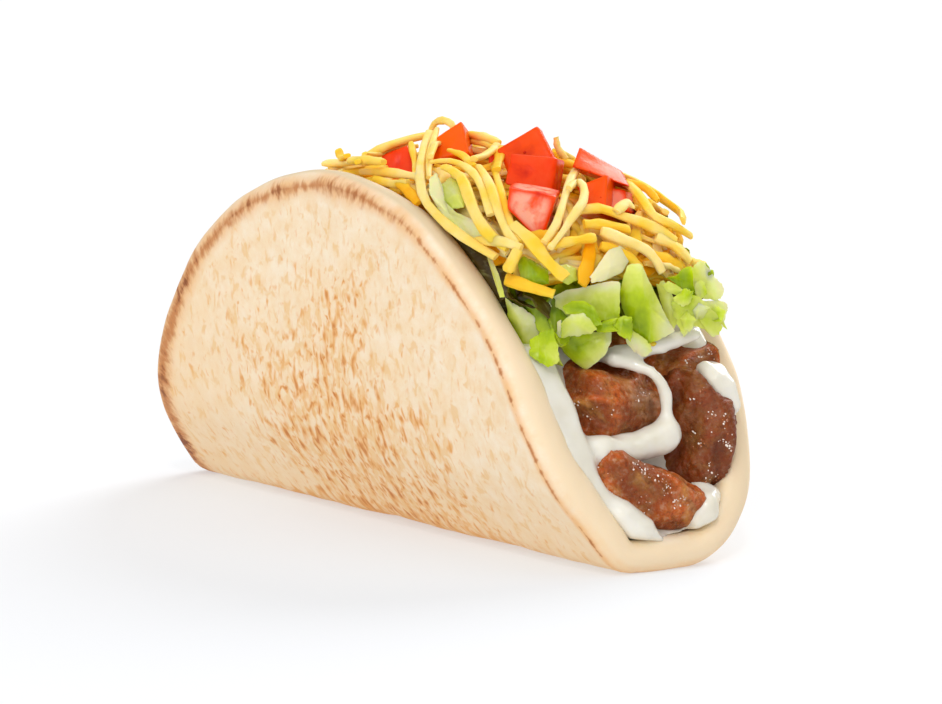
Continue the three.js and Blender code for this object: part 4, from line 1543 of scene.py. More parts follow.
SHOWN_LEAVES = (
    # At the near flap
    ShownLeaf((
        (523, 326, -16.5, 12), (505, 297, -19, 30), (511, 302, -18.3, 10), (524, 309, -16.5, 5),
        (536, 317, -15, 5), (543, 325, -14, 10), (538, 335, -14.5, 25), (532, 347, -15, 45),
        (530, 353, -15.2, 60), (522, 345, -16.5, 60), (514, 330, -17.5, 55), (508, 315, -18.5, 50),
    ), belly=1),
    ShownLeaf((
        (545, 335, -13.5, 85), (541, 325, -14, 85), (549, 322, -12.8, 75), (554, 330, -12, 80),
        (555, 346, -12, 75), (546, 346, -13, 80), (536, 354, -14.5, 65), (529, 353, -15, 70),
        (536, 337, -14.5, 90),
    ), belly=-0.8),
    ShownLeaf((
        (532, 306, -14, 62), (504, 289, -17, 80), (518, 292, -15, 75), (534, 298, -13, 70),
        (545, 306, -12, 65), (555, 322, -11, 70), (549, 330, -12, 80), (543, 325, -12.8, 80),
        (530, 313, -14.5, 75), (515, 303, -16.5, 75), (506, 298, -18, 80),
    ), belly=0.6),
    ShownLeaf((
        (549, 350, -12, 18), (531, 350, -14.8, 75), (540, 345, -13.5, 50), (548, 341, -12.5, 35),
        (554, 343, -12, 45), (558, 352, -11.2, 50), (563, 366, -10.5, 45), (553, 364, -11.2, 50),
        (541, 361, -13, 55), (533, 357, -14, 65),
    ), belly=1),
    ShownLeaf((
        (544, 304, -13, 0), (540, 298, -13.5, 0), (545, 300, -13, 0), (549, 306, -12.5, 5),
        (546, 313, -12.5, 10), (541, 306, -13.2, 5),
    ), belly=0.3),
    ShownLeaf((
        (544, 349, -16, 48), (531, 340, -18.6, 50), (541, 332, -17.4, 60), (552, 330, -15.6, 70),
        (557, 345, -15.2, 50), (560, 362, -15, 35), (549, 367, -16.4, 55), (538, 362, -18, 60),
        (529, 355, -19.2, 65),
    ), belly=0.9, ragged=0.2),
    # In the middle: a broad pale leaf with a hollow, a bowl under it, and torn bits
    ShownLeaf((
        (588, 304, -7.5, 40), (548, 308, -13, 20), (553, 297, -11.8, 10), (566, 290, -10, 8),
        (581, 288, -7.8, 8), (596, 284, -5.8, 4), (612, 281, -3.6, 5), (620, 282, -2.6, 10),
        (620, 300, -2.3, 30), (619, 318, -2, 60), (606, 320, -4, 60), (592, 323, -6, 65),
        (578, 318, -8.5, 60), (562, 320, -10.8, 35), (555, 316, -12, 25),
    ), belly=-1, ragged=0.06),
    ShownLeaf((
        (584, 309, -9.2, 72), (562, 307, -11.6, 60), (572, 301, -10.6, 55), (584, 301, -9.1, 50),
        (593, 306, -7.8, 55), (600, 318, -6.6, 75), (602, 325, -6.2, 70), (590, 326, -8.1, 65),
        (578, 314, -9.8, 50), (566, 314, -11.2, 50),
    ), belly=-0.5),
    ShownLeaf((
        (578, 323, -10.9, 26), (560, 331, -12.4, 25), (563, 321, -12.4, 30), (571, 315, -11.6, 8),
        (583, 313, -10, 10), (590, 319, -9, 30), (597, 329, -8, 45), (590, 334, -9, 30),
        (575, 336, -10.8, 20), (563, 337, -12.2, 30),
    ), belly=0.8, ragged=0.2),
    ShownLeaf((
        (559, 332, -12.3, 5), (557, 322, -12.6, 0), (561, 320, -12.2, 0), (562, 330, -12, 10),
        (560, 341, -11.8, 10), (556, 343, -12.2, 5), (555, 338, -12.4, 5), (557, 331, -12.6, 10),
    ), belly=0.3, thickness=0.8),
    ShownLeaf((
        (576, 346, -7.2, 66), (558, 336, -10.6, 40), (566, 333, -9.6, 65), (580, 331, -7.6, 50),
        (598, 332, -4.8, 40), (612, 331, -2.4, 15), (611, 343, -3, 10), (604, 356, -4.2, 12),
        (596, 363, -5.4, 20), (585, 370, -6.6, 25), (574, 362, -8, 45), (564, 353, -9.4, 50),
        (559, 345, -10.4, 40),
    ), belly=2, ragged=0.05),
    ShownLeaf((
        (606, 326, -4.6, 72), (593, 324, -6.4, 70), (602, 322, -5.2, 65), (610, 319, -4.2, 60),
        (617, 318, -3.4, 60), (613, 325, -3.6, 70), (618, 331, -3.1, 60), (607, 333, -4.6, 40),
        (597, 332, -6, 60),
    ), ragged=0.3),
    ShownLeaf((
        (624, 325, -1.6, 76), (611, 327, -3.9, 40), (617, 318, -3, 50), (624, 316, -1.6, 55),
        (632, 317, -0.6, 60), (633, 330, -0.3, 70), (631, 342, -0.6, 50), (624, 336, -1.8, 60),
        (617, 333, -3, 45),
    ), ragged=0.3),
    ShownLeaf((
        (643, 302, 2.6, 60), (627, 266, 0.3, 25), (633, 263, 1, 20), (641, 264, 2.1, 20), (646, 274, 3, 25),
        (652, 287, 4, 35), (660, 303, 5.6, 28), (667, 318, 7, 15), (675, 331, 8.1, 5), (667, 336, 7, 12),
        (657, 340, 5.6, 45), (648, 344, 4.2, 75), (637, 336, 2.4, 80), (629, 325, 0.8, 90),
        (622, 308, -0.6, 85), (620, 292, -1, 65), (622, 282, -0.6, 40),
    ), belly=1.2, ragged=0.05),
    ShownLeaf((
        (637, 343, 1.8, 15), (624, 333, -0.4, 30), (632, 330, 0.8, 50), (641, 336, 2.2, 30),
        (650, 344, 3.8, 30), (652, 350, 4.2, 15), (645, 357, 3.2, 0), (634, 352, 1.4, 0), (627, 343, 0, 20),
    ), belly=0.6, ragged=0.2),
    # At the far flap
    ShownLeaf((
        (668, 304, 9, 22), (656, 284, 7.4, 30), (664, 281, 8.2, 20), (671, 292, 9.2, 20),
        (677, 306, 10.4, 25), (679, 320, 10.8, 20), (672, 331, 10.6, 20), (666, 316, 9.2, 30),
        (660, 300, 8, 35),
    ), belly=0.6, ragged=0.15),
    ShownLeaf((
        (684, 280, 11.4, 78), (668, 278, 8.8, 75), (676, 276, 9.8, 70), (684, 268, 11, 60),
        (692, 266, 12.5, 40), (693, 280, 13, 60), (695, 296, 13.8, 80), (687, 294, 12.4, 80),
        (679, 286, 10.8, 80),
    ), belly=-0.4, ragged=0.2),
    ShownLeaf((
        (673, 288, 8.6, 28), (662, 286, 7, 30), (668, 281, 7.6, 35), (677, 285, 9.2, 40),
        (688, 294, 10.8, 20), (678, 296, 9.4, 30), (668, 292, 7.8, 20),
    ), belly=0.5),
    ShownLeaf((
        (706, 285, 17.2, 30), (691, 268, 14, 40), (697, 263, 15.4, 15), (704, 262, 16.6, 10),
        (709, 268, 17.6, 10), (713, 276, 18.2, 20), (722, 284, 19.6, 5), (724, 292, 19.8, 0),
        (720, 300, 19.4, 5), (708, 299, 17.4, 10), (697, 296, 15, 10), (692, 282, 14.2, 20),
    ), belly=1, ragged=0.2),
    ShownLeaf((
        (694, 313, 13, 40), (672, 302, 9, 35), (680, 299, 10.4, 50), (690, 294, 12, 55),
        (699, 297, 13.6, 40), (708, 305, 15.2, 32), (716, 314, 17, 30), (722, 326, 18.8, 35),
        (720, 334, 18.6, 38), (712, 337, 17, 15), (704, 329, 15.4, 25), (694, 326, 13.4, 25),
        (684, 337, 11.6, 20), (678, 325, 10.4, 35), (673, 312, 9.4, 35),
    ), belly=1.2, ragged=0.12),
    ShownLeaf((
        (715, 308, 18.8, 22), (699, 301, 15.6, 10), (708, 301, 17.2, 5), (718, 300, 19.2, 0),
        (727, 303, 20.8, 0), (727, 312, 21, 5), (723, 320, 20.4, 10), (727, 329, 21.2, 25),
        (718, 322, 19.6, 25), (709, 313, 17.6, 25),
    ), belly=0.6, ragged=0.25),
    ShownLeaf((
        (707, 276, 17.4, 80), (699, 269, 16.4, 60), (706, 263, 17.4, 80), (712, 270, 18.4, 70),
        (714, 281, 18.8, 50), (707, 288, 17.4, 80), (702, 279, 16.8, 90),
    ), belly=0.9, ragged=0.4),
    ShownLeaf((
        (685, 298, 9.8, 55), (675, 298, 8.4, 30), (684, 289, 9.8, 50), (693, 291, 11.2, 70),
        (691, 303, 11, 40), (681, 307, 9.4, 20),
    ), belly=0.8, ragged=0.4),
    ShownLeaf((
        (699, 311, 13.2, 20), (690, 310, 11.8, 10), (698, 302, 13.2, 5), (709, 308, 14.8, 20),
        (704, 318, 14.2, 40), (695, 320, 12.6, 30),
    ), belly=0.8, ragged=0.4),
    ShownLeaf((
        (715, 313, 16.8, 50), (708, 313, 15.6, 50), (715, 305, 17, 30), (724, 311, 18.8, 30),
        (722, 322, 18.2, 50), (713, 321, 16.4, 60),
    ), belly=-0.7, ragged=0.4),
    ShownLeaf((
        (687, 320, 10.8, 50), (680, 319, 9.8, 40), (687, 311, 11, 50), (695, 320, 12, 30),
        (690, 332, 11.4, 10), (684, 329, 10.2, 30),
    ), belly=0.7, ragged=0.4),
    ShownLeaf((
        (701, 290, 14.8, 30), (697, 280, 14.2, 20), (704, 283, 15.4, 40), (707, 294, 16, 60),
        (700, 300, 15, 40), (694, 291, 13.8, 30),
    ), belly=-0.6, ragged=0.4),
    # On the heap: a pale curl, a pale rib, and green between the shreds
    ShownLeaf((
        (449, 214, 1.8, 14), (431, 183, 2, 0), (438, 180, 2, 5), (444, 190, 1.8, 15), (447, 204, 1.7, 20),
        (457, 213, 1.7, 10), (470, 219, 1.7, 5), (481, 227, 1.7, 5), (484, 238, 1.6, 10),
        (476, 242, 1.4, 10), (462, 236, 1.4, 25), (448, 224, 1.4, 15), (437, 207, 1.6, 10),
        (431, 195, 1.8, 5),
    ), belly=0.6, on_heap=True, thickness=0.8),
    ShownLeaf((
        (455, 197, 1.9, 20), (443, 187, 1.4, 30), (452, 182, 1.6, 30), (462, 188, 1.6, 35),
        (468, 198, 1.5, 30), (464, 208, 1.3, 35), (453, 210, 1.2, 40), (445, 201, 1.3, 40),
    ), belly=1, on_heap=True),
    ShownLeaf((
        (610, 267, 2.8, -10), (627, 252, 2, 0), (628, 262, 2, 0), (622, 273, 2.2, 0), (606, 280, 2.4, 0),
        (592, 283, 2.2, 0), (590, 277, 2.2, 0), (600, 262, 2.4, 0), (609, 250, 2.4, 0), (619, 247, 2.3, 0),
    ), belly=0.6, on_heap=True, thickness=1.2),
    ShownLeaf((
        (532, 272, 0.6, 68), (518, 262, 0.4, 60), (524, 256, 0.4, 60), (535, 262, 0.4, 65),
        (548, 270, 0.4, 70), (549, 284, 0.4, 75), (535, 286, 0.4, 80), (521, 281, 0.4, 75),
    ), on_heap=True),
    ShownLeaf((
        (568, 273, 1, 30), (557, 266, 0.8, 20), (566, 264, 0.8, 30), (576, 268, 0.8, 35),
        (577, 280, 0.8, 50), (568, 285, 0.8, 45), (560, 281, 0.8, 35),
    ), on_heap=True),
    ShownLeaf((
        (495, 277, 0.5, 20), (487, 257, 0.4, 20), (492, 259, 0.4, 10), (499, 275, 0.4, 20),
        (505, 297, 0.4, 40), (500, 298, 0.4, 40), (494, 280, 0.4, 30),
    ), belly=0.2, on_heap=True),
)


@dataclass
class Lettuce:
    """The leaf pieces under the cheese, which hang out at both mouths.

    A mouth is 1 for the front and -1 for the back, its number of loose leaves, and the least
    and the most green of their middles. At the front they are deep green: painted shade in the
    gaps between the leaves in front of them.
    """

    heap: Heap
    view: PhotoView
    finish: FreshLeaf = field(default_factory=FreshLeaf)
    bottom: float = 43.0
    seed: int = 5
    widest: Pair = (-25.6, 27.4)  # how far out the leaves reach across the fold
    mouths: tuple[tuple[int, int, float, float], ...] = ((1, 20, 0.7, 0.95), (-1, 54, 0.02, 0.5))
    wall_leaves: int = 34
    far_leaves: int = 16  # low at the far wall, in front

    def build(self) -> Piece:
        """Model the leaves over a plain core and return the piece."""
        form = self._core()
        for leaf in self._leaves():
            leaf.add_to(form, self._kept)
        return finished("lettuce_torn", form, self.finish.material(), Slot.LETTUCE, ["lettuce"], 50.0)

    def _kept(self, point: Vector) -> Vector:
        """Return a point of a leaf, moved in if it would enter or pass the bread."""
        inside = self.heap.fold.kept_inside(point, 0.3)
        inside.y = clamp(inside.y, *self.widest)
        return inside

    def _core(self) -> Form:
        """Model what fills the heap between the cream and the cheese."""
        form = fine_cube(11)
        green = form.verts.layers.float.new("green")
        leaf = form.verts.layers.float_vector.new("leaf")
        for vert in form.verts:
            u, v, t = vert.co
            top = self.heap.point(0.80 * u, 0.95 * v, 7.0)
            z = lerp(self.bottom, max(top.z, self.bottom + 1.5), (t + 1) / 2)
            x = top.x * (1 - 0.04 * (1 - t))
            vert.co = (x, self.heap.fold.pocket_y(0.97 * v, z), z)
            # Towards the front mouth, except at the far flap, the core turns deep green and then dark:
            # painted shade in the heap's depth.
            vert[green] = lerp(0.72, 1.3, eased(x, 26.0, 40.0) * (1 - eased(v, 0.3, 0.7)))
            vert[leaf] = vert.co
        return form

    def _leaves(self) -> Iterator[TornLeaf]:
        """Yield the leaves that the photograph shows and then the rest."""
        for i, shown in enumerate(SHOWN_LEAVES):
            yield shown.torn(self.view, self.heap, i + 1)
        yield from self._loose_leaves()

    def _loose_leaves(self) -> Iterator[TornLeaf]:
        """Yield leaves behind and between those, at the back mouth and along the bread's walls."""
        rng = random.Random(self.seed)
        for end, count, pale, deep in self.mouths:
            for i in range(count):
                row = rng.random()
                across = rng.uniform(-0.88 if end > 0 else -0.4, 0.95)
                centre = self.heap.point(end * (0.93 - 0.16 * row), across, 1.0 + 2.5 * rng.random())
                centre.z = lerp(45.0, 54.0, row) + rng.uniform(-1.5, 1.5)
                centre.x -= 4.0 * (end > 0)
                centre.z -= 1.4 * (end < 0)
                outwards = end * rng.uniform(0.6, 1.0)
                facing = Vector((outwards, rng.uniform(-0.6, 0.6), rng.uniform(-0.1, 0.8)))
                shade = rng.uniform(pale, deep)
                yield self._random_leaf(rng, centre, facing.normalized(), shade, i + 100 + 60 * end)
        for i in range(self.wall_leaves):
            share = i / (self.wall_leaves - 1)
            side = -1 if i % 4 == 0 else 1
            furthest = 0.48 if side > 0 else -0.15
            centre = self.heap.point(lerp(-0.7, furthest, share), 0.93 * side, rng.uniform(3.5, 6.0))
            facing = Vector((rng.uniform(-0.4, 0.4), side, rng.uniform(0.3, 1.1)))
            yield self._random_leaf(rng, centre, facing.normalized(), rng.uniform(0.1, 0.8), i + 300)
        for i in range(self.far_leaves):
            share = i / (self.far_leaves - 1)
            centre = self.heap.point(lerp(0.52, 0.84, share), 0.9, rng.uniform(9.0, 12.5))
            facing = Vector((rng.uniform(0.0, 0.5), 1.0, rng.uniform(0.1, 0.7)))
            yield self._random_leaf(rng, centre, facing.normalized(), rng.uniform(0.1, 0.75), i + 350)

    def _random_leaf(
        self, rng: random.Random, centre: Vector, facing: Vector, shade: float, seed: int
    ) -> TornLeaf:
        """Draw a leaf.

        Args:
            rng: The source of chance.
            centre: Its middle.
            facing: The way it faces.
            shade: How green its middle is.
            seed: The seed of its torn edge.

        Returns:
            The leaf.
        """
        turn = UP.rotation_difference(facing) @ Quaternion(UP, rng.uniform(0, 2 * math.pi))
        length, width = rng.uniform(5.0, 8.5), rng.uniform(3.2, 5.2)
        greener = rng.uniform(0, 2 * math.pi)
        corners = rng.randint(6, 9)
        edge = []
        for i in range(corners):
            angle = (i + rng.uniform(-0.3, 0.3)) / corners * 2 * math.pi
            reach = rng.uniform(0.75, 1.15)
            level = (reach * length * math.cos(angle), reach * width * math.sin(angle))
            spot = Vector((*level, rng.uniform(-1.6, 1.6)))
            edge.append((centre + turn @ spot, shade + 0.3 * math.cos(angle - greener)))
        belly, ragged = rng.uniform(-2.0, 2.2), rng.uniform(0.1, 0.3)
        middle = (centre, shade)
        return TornLeaf(tuple(edge), middle, facing, belly, ragged, 0.9, seed, thickness=0.45, columns=12)


@dataclass(frozen=True)
class Block:
    """A block by its eight corners: round the front from its upper left, then round the back."""

    corners: tuple[Vector, ...]

    @cached_property
    def middle(self) -> Vector:
        """The block's middle."""
        return sum(self.corners, Vector()) / 8

    @cached_property
    def axes(self) -> tuple[Vector, Vector, Vector]:
        """Half of the way through the block to the right, up and to the front."""
        faces = ((1, 2, 5, 6), (0, 1, 4, 5), (0, 1, 2, 3))
        return tuple(sum((self.corners[i] for i in face), Vector()) / 4 - self.middle for face in faces)

    def place(self, at: Vector) -> Vector:
        """Return a place in the block, each part of at being -1 to 1 along an axis."""
        total = Vector()
        for i, corner in enumerate(self.corners):
            right = at.x if i % 4 in (1, 2) else -at.x
            up = at.y if i % 4 < 2 else -at.y
            front = at.z if i < 4 else -at.z
            total += corner * ((1 + right) * (1 + up) * (1 + front) / 8)
        return total

    def direction(self, at: Vector) -> Vector:
        """Return the direction in which a place lies from the middle, as in a true cube."""
        return sum((axis.normalized() * part for axis, part in zip(self.axes, at)), Vector()).normalized()

    def holds(self, point: Vector, margin: float) -> bool:
        """Tell whether a point is in the block or within a margin of it."""
        away = point - self.middle
        return all(abs(away.dot(axis.normalized())) < axis.length + margin for axis in self.axes)


@dataclass(frozen=True)
class TomatoCube:
    """A cube of tomato, by the corners of its front in the picture.

    The corners go round from the upper left, in pixels from the picture's left and top
    edges, and the back is shifted by a few pixels. The cube's middle is as far from the
    camera as the place given. Pulp is how much wet flesh its faces show. Over the distance
    cleared, no loose shred comes before it.
    """

    corners: tuple[Pair, Pair, Pair, Pair]
    level_with: Point
    seed: int
    shift: Pair = (5.0, 4.0)
    depth: float = 8.4
    lean: float = 1.6
    pulp: float = 0.0
    orange: float = 0.0
    drops: int = 6
    ragged: float = 0.2
    seeds: int = 0
    cleared: float = 7.5

    def block(self, view: PhotoView) -> Block:
        """Return the block that the cube fills."""
        middle = view.distance_to(Vector(self.level_with))
        places = []
        for side, (across, down) in ((-0.5, (0.0, 0.0)), (0.5, self.shift)):
            for i, (px, py) in enumerate(self.corners):
                leaning = self.lean if i < 2 else -self.lean
                distance = middle + side * self.depth + leaning
                places.append(view.at_distance(px + across, py + down, distance))
        return Block(tuple(places))


TOMATO_CUBES = (
    TomatoCube(((381, 155), (408, 145), (420, 184), (392, 192)), (-6, -4, 67.6), 1, cleared=24),
    TomatoCube(
        ((435, 138), (461, 120), (469, 153), (428, 162)), (5.5, 0, 71.6), 2, (9, 12), orange=0.95, drops=2,
    ),
    TomatoCube(
        ((497, 149), (538, 125), (556, 162), (507, 174)), (25.5, 4.5, 72), 3, (4, 4), orange=0.3, drops=10,
    ),
    TomatoCube(((511, 153), (557, 158), (551, 197), (505, 184)), (35.5, -3, 68.4), 4, (8, 3), drops=14),
    TomatoCube(
        ((509, 187), (557, 196), (541, 243), (507, 209)), (46.6, -10.6, 62.6), 5, (4, -6), pulp=1, drops=16,
        ragged=0.35, seeds=6,
    ),
    TomatoCube(
        ((580, 147), (622, 171), (629, 186), (572, 166)), (39.5, 10.5, 69.6), 6, (3, 6), lean=2.4,
        pulp=0.12, orange=0.35, drops=4,
    ),
    TomatoCube(
        ((576, 186), (607, 174), (606, 212), (586, 208)), (45.5, 4, 65.6), 7, (9, 6), orange=0.5, drops=5,
    ),
    TomatoCube(
        ((603, 187), (625, 190), (628, 212), (606, 214)), (46, 12.6, 64), 8, (8, 4), pulp=0.4, drops=4,
    ),
    TomatoCube(
        ((488, 152), (526, 148), (530, 188), (490, 190)), (11, 11.5, 66.4), 9, (5, -6), pulp=0.1, cleared=0,
    ),
    TomatoCube(((361, 158), (398, 150), (402, 190), (364, 194)), (-25, 7, 64), 10, (5, -6), orange=0.3),
)


@dataclass
class Tomato:
    """The diced tomato in the cheese."""

    view: PhotoView
    cubes: tuple[TomatoCube, ...] = TOMATO_CUBES
    finish: RipeTomato = field(default_factory=RipeTomato)
    rounding: float = 0.13

    def build(self) -> list[Piece]:
        """Model every cube and return the pieces."""
        material = self.finish.material()
        pieces = []
        for i, cube in enumerate(self.cubes):
            node = f"tomato_{i + 1}"
            pieces.append(finished(f"{node}_diced", self._cube(cube), material, Slot.TOMATO, [node], 60.0))
        return pieces

    def _cube(self, cube: TomatoCube) -> Form:
        """Model one cube with soft edges, uneven flesh and drops of juice."""
        form = fine_cube(15)
        pulp = form.verts.layers.float.new("pulp")
        orange = form.verts.layers.float.new("orange")
        block = cube.block(self.view)
        seed = Vector((7.0 * cube.seed, 0.0, 0.0))
        shifts = [Vector((9.0 * k, 0.0, 0.0)) for k in (1, 2, 3)]
        for vert in form.verts:
            at = Vector([math.sin(part * math.pi / 2) for part in vert.co])
            hard = Vector([clamp(part, self.rounding - 1, 1 - self.rounding) for part in at])
            soft = hard + (at - hard).normalized() * self.rounding
            right, up, front = (1 - part**4 for part in at)
            inner = right * up + up * front + right * front
            uneven = noise.noise(soft * 1.6 + seed) + 0.5 * noise.noise(soft * 3.5 + seed)
            bent = Vector([0.05 * noise.noise(soft * 0.8 + seed + shift) for shift in shifts])
            outward = block.direction(soft)
            vert.co = block.place(soft + bent) + outward * cube.ragged * uneven * min(1.0, inner)
            vert[pulp] = clamp(cube.pulp * 2.2 * (min(1.0, inner) - 0.35), 0.0, 1.0)
            vert[orange] = cube.orange
        bmesh.ops.recalc_face_normals(form, faces=form.faces)
        self._add_juice(form, cube)
        return form

    def _add_juice(self, form: Form, cube: TomatoCube) -> None:
        """Add seeds, and drops of juice that are mostly close together on the cube's front."""
        rng = random.Random(cube.seed)
        form.normal_update()
        spots = [(v.co.copy(), v.normal.copy()) for v in form.verts if v.normal.dot(self.view.back) > 0.6]
        middle = rng.choice(spots)[0] - UP * 2
        spots.sort(key=lambda spot: (spot[0] - middle).length)
        for i in range(cube.drops):
            place, normal = rng.choice(spots[: len(spots) // 3] if i % 4 else spots)
            size = rng.uniform(0.14, 0.34)
            spot = standing_on(place, normal)
            shape = Matrix.Diagonal((size, size * rng.uniform(0.8, 1.3), size * 0.6, 1.0))
            bmesh.ops.create_icosphere(form, subdivisions=2, radius=1.0, matrix=spot @ shape)
        for _ in range(cube.seeds):
            place, normal = rng.choice(spots[len(spots) // 5 : len(spots) // 2])
            spin = Matrix.Rotation(rng.uniform(0, math.pi), 4, "Z")
            shape = Matrix.Diagonal((1.1, 0.75, 0.35, 1.0))
            spot = standing_on(place, normal) @ spin
            made = bmesh.ops.create_icosphere(form, subdivisions=3, radius=1.0, matrix=spot @ shape)
            for vert in made["verts"]:
                vert[form.verts.layers.float["pulp"]] = 1.0


@dataclass(frozen=True)
class ShownShred:
    """A cheese shred that the photograph shows.

    Its places are distances from the picture's left and top edges in pixels, and then its y
    on the taco where it does not lie on the heap. Its width, and its lift over the heap,
    are in millimetres. Kind is 0 for pale to 1 for orange; a shred in shade has a more orange
    kind, which paints its shade.
    """

    places: tuple[tuple[float, ...], ...]
    width: float
    lift: float
    kind: float


SHOWN_SHREDS = (
    # Left of the second tomato cube, and round the first
    ShownShred((
        (430, 132, -1), (423, 150, -8), (420, 170, -15.5), (421, 189, -19.6), (428, 205, -21.2),
        (441, 219, -21.8), (455, 231, -22), (474, 244, -21.5), (496, 257, -20.3),
    ), 2.2, 0, 0.18),
    ShownShred(((437, 129, 0), (432, 146, -6.5), (429, 163, -12.5), (429, 178, -16.5)), 1.5, 0, 0.25),
    ShownShred(((362, 170), (366, 157), (380, 149), (396, 143), (414, 138), (428, 135)), 2.2, 2.6, 0.35),
    ShownShred(((366, 162), (378, 155), (390, 150), (408, 144)), 1.8, 1.8, 0.25),
    ShownShred(((361, 172, -17), (380, 172, -17), (400, 174, -16.8), (419, 177, -17)), 2, 0, 0.25),
    ShownShred(((352, 168), (370, 168), (386, 170)), 2.2, 2, 0.3),
    ShownShred(((374, 179, -18.5), (392, 184, -19), (408, 183, -18.6)), 1.8, 0, 0.4),
    ShownShred(((399, 181, -18.4), (409, 192, -20), (419, 203, -21)), 2.4, 0, 0.8),
    ShownShred(((411, 143, -4), (414, 158, -10), (415, 174, -15)), 1.4, 0, 0.45),
    ShownShred(((338, 150), (342, 158), (350, 165)), 1.8, 2, 0.4),
    ShownShred(((325, 163), (345, 163), (360, 168)), 2.6, 1.5, 0.15),
    ShownShred((
        (430, 146, 3), (431, 135, 3), (433, 126, 3), (438, 121, 2.5), (446, 121, 2), (453, 126, 2),
        (457, 142, 3),
    ), 1.6, 0, 0.2),
    # Between the second and the third cube, and over the pale curl
    ShownShred(((468, 134), (484, 137), (499, 143)), 2.2, 1.5, 0.3),
    ShownShred(((466, 140), (484, 143), (500, 150)), 2.2, 0.8, 0.4),
    ShownShred((
        (432, 170), (438, 157), (455, 151), (476, 150), (491, 153), (496, 161), (488, 169), (474, 173),
    ), 2, 3.2, 0.2),
    ShownShred(((450, 161), (463, 166), (474, 176)), 1.8, 2.2, 0.5),
    ShownShred(((492, 150), (500, 163), (496, 180)), 2.6, 2.6, 0.6),
    ShownShred(((433, 173), (450, 172), (466, 177), (479, 187), (487, 203), (491, 216)), 2.1, 2.6, 0.3),
    ShownShred(((446, 177), (462, 184), (470, 200), (479, 220), (493, 238), (508, 248)), 2.4, 2.6, 0.35),
    ShownShred(((479, 177), (490, 191), (498, 211), (506, 230), (517, 246)), 2, 2.6, 0.3),
    ShownShred(((494, 176), (501, 196), (509, 222), (520, 243)), 1.9, 2, 0.5),
    ShownShred(((476, 240), (500, 243), (521, 248)), 2, 3, 0.2),
    ShownShred(((518, 250), (507, 272)), 2.5, 3, 0.35),
    ShownShred(((512, 225), (530, 240), (548, 262), (566, 278)), 3, 2.6, 0.4),
    ShownShred(((506, 279), (530, 287), (554, 294)), 2.6, 1, 0.5),
    # Round the cubes in the middle
    ShownShred(((556, 137), (558, 148), (566, 159)), 1.7, 3, 0.2),
    ShownShred(((560, 161), (580, 167), (604, 175)), 2.2, 3.2, 0.65),
    ShownShred(((544, 243), (556, 226), (562, 206), (569, 189), (579, 179), (592, 177)), 1.8, 3, 0.05),
    ShownShred((
        (550, 248), (560, 236), (571, 221), (580, 209), (581, 198), (574, 193), (566, 199),
    ), 1.7, 3.8, 0.05),
    ShownShred(((548, 247), (570, 242), (594, 239)), 2.1, 2.8, 0.45),
    ShownShred(((590, 243), (588, 262), (582, 285)), 2.9, 1.4, 0.9),
    # The right side
    ShownShred(((611, 184), (625, 195), (640, 208), (652, 221), (668, 229), (691, 236)), 2.1, 2.8, 0.4),
    ShownShred(((627, 182), (645, 188), (658, 201)), 1.6, 2.8, 0.5),
    ShownShred(((646, 209), (660, 211), (661, 219)), 2.1, 2.8, 0.3),
    ShownShred(((614, 216), (624, 209), (631, 212)), 2.2, 3, 0.1),
    ShownShred(((573, 215), (598, 212), (620, 219), (641, 225), (660, 234), (674, 243)), 2.6, 2.2, 0.35),
    ShownShred(((583, 226), (604, 227), (628, 231)), 2.4, 1.8, 0.5),
    ShownShred(((600, 233), (620, 240), (644, 250), (655, 261), (662, 273)), 2.4, 2.8, 0.15),
    ShownShred(((600, 246), (624, 255), (641, 269)), 2.2, 1.8, 0.6),
    ShownShred(((655, 238), (674, 248), (688, 262)), 3, 2, 0.3),
    ShownShred(((652, 254), (668, 261), (681, 268)), 2.4, 1.8, 0.6),
    ShownShred(((661, 265), (671, 268), (678, 272)), 0.9, 2.8, 0),
    ShownShred(((690, 262), (705, 265)), 1.8, 1, 0.4),
    # Low, between the leaves
    ShownShred(((640, 338), (652, 345), (661, 340)), 1.8, 0.5, 0.6),
)


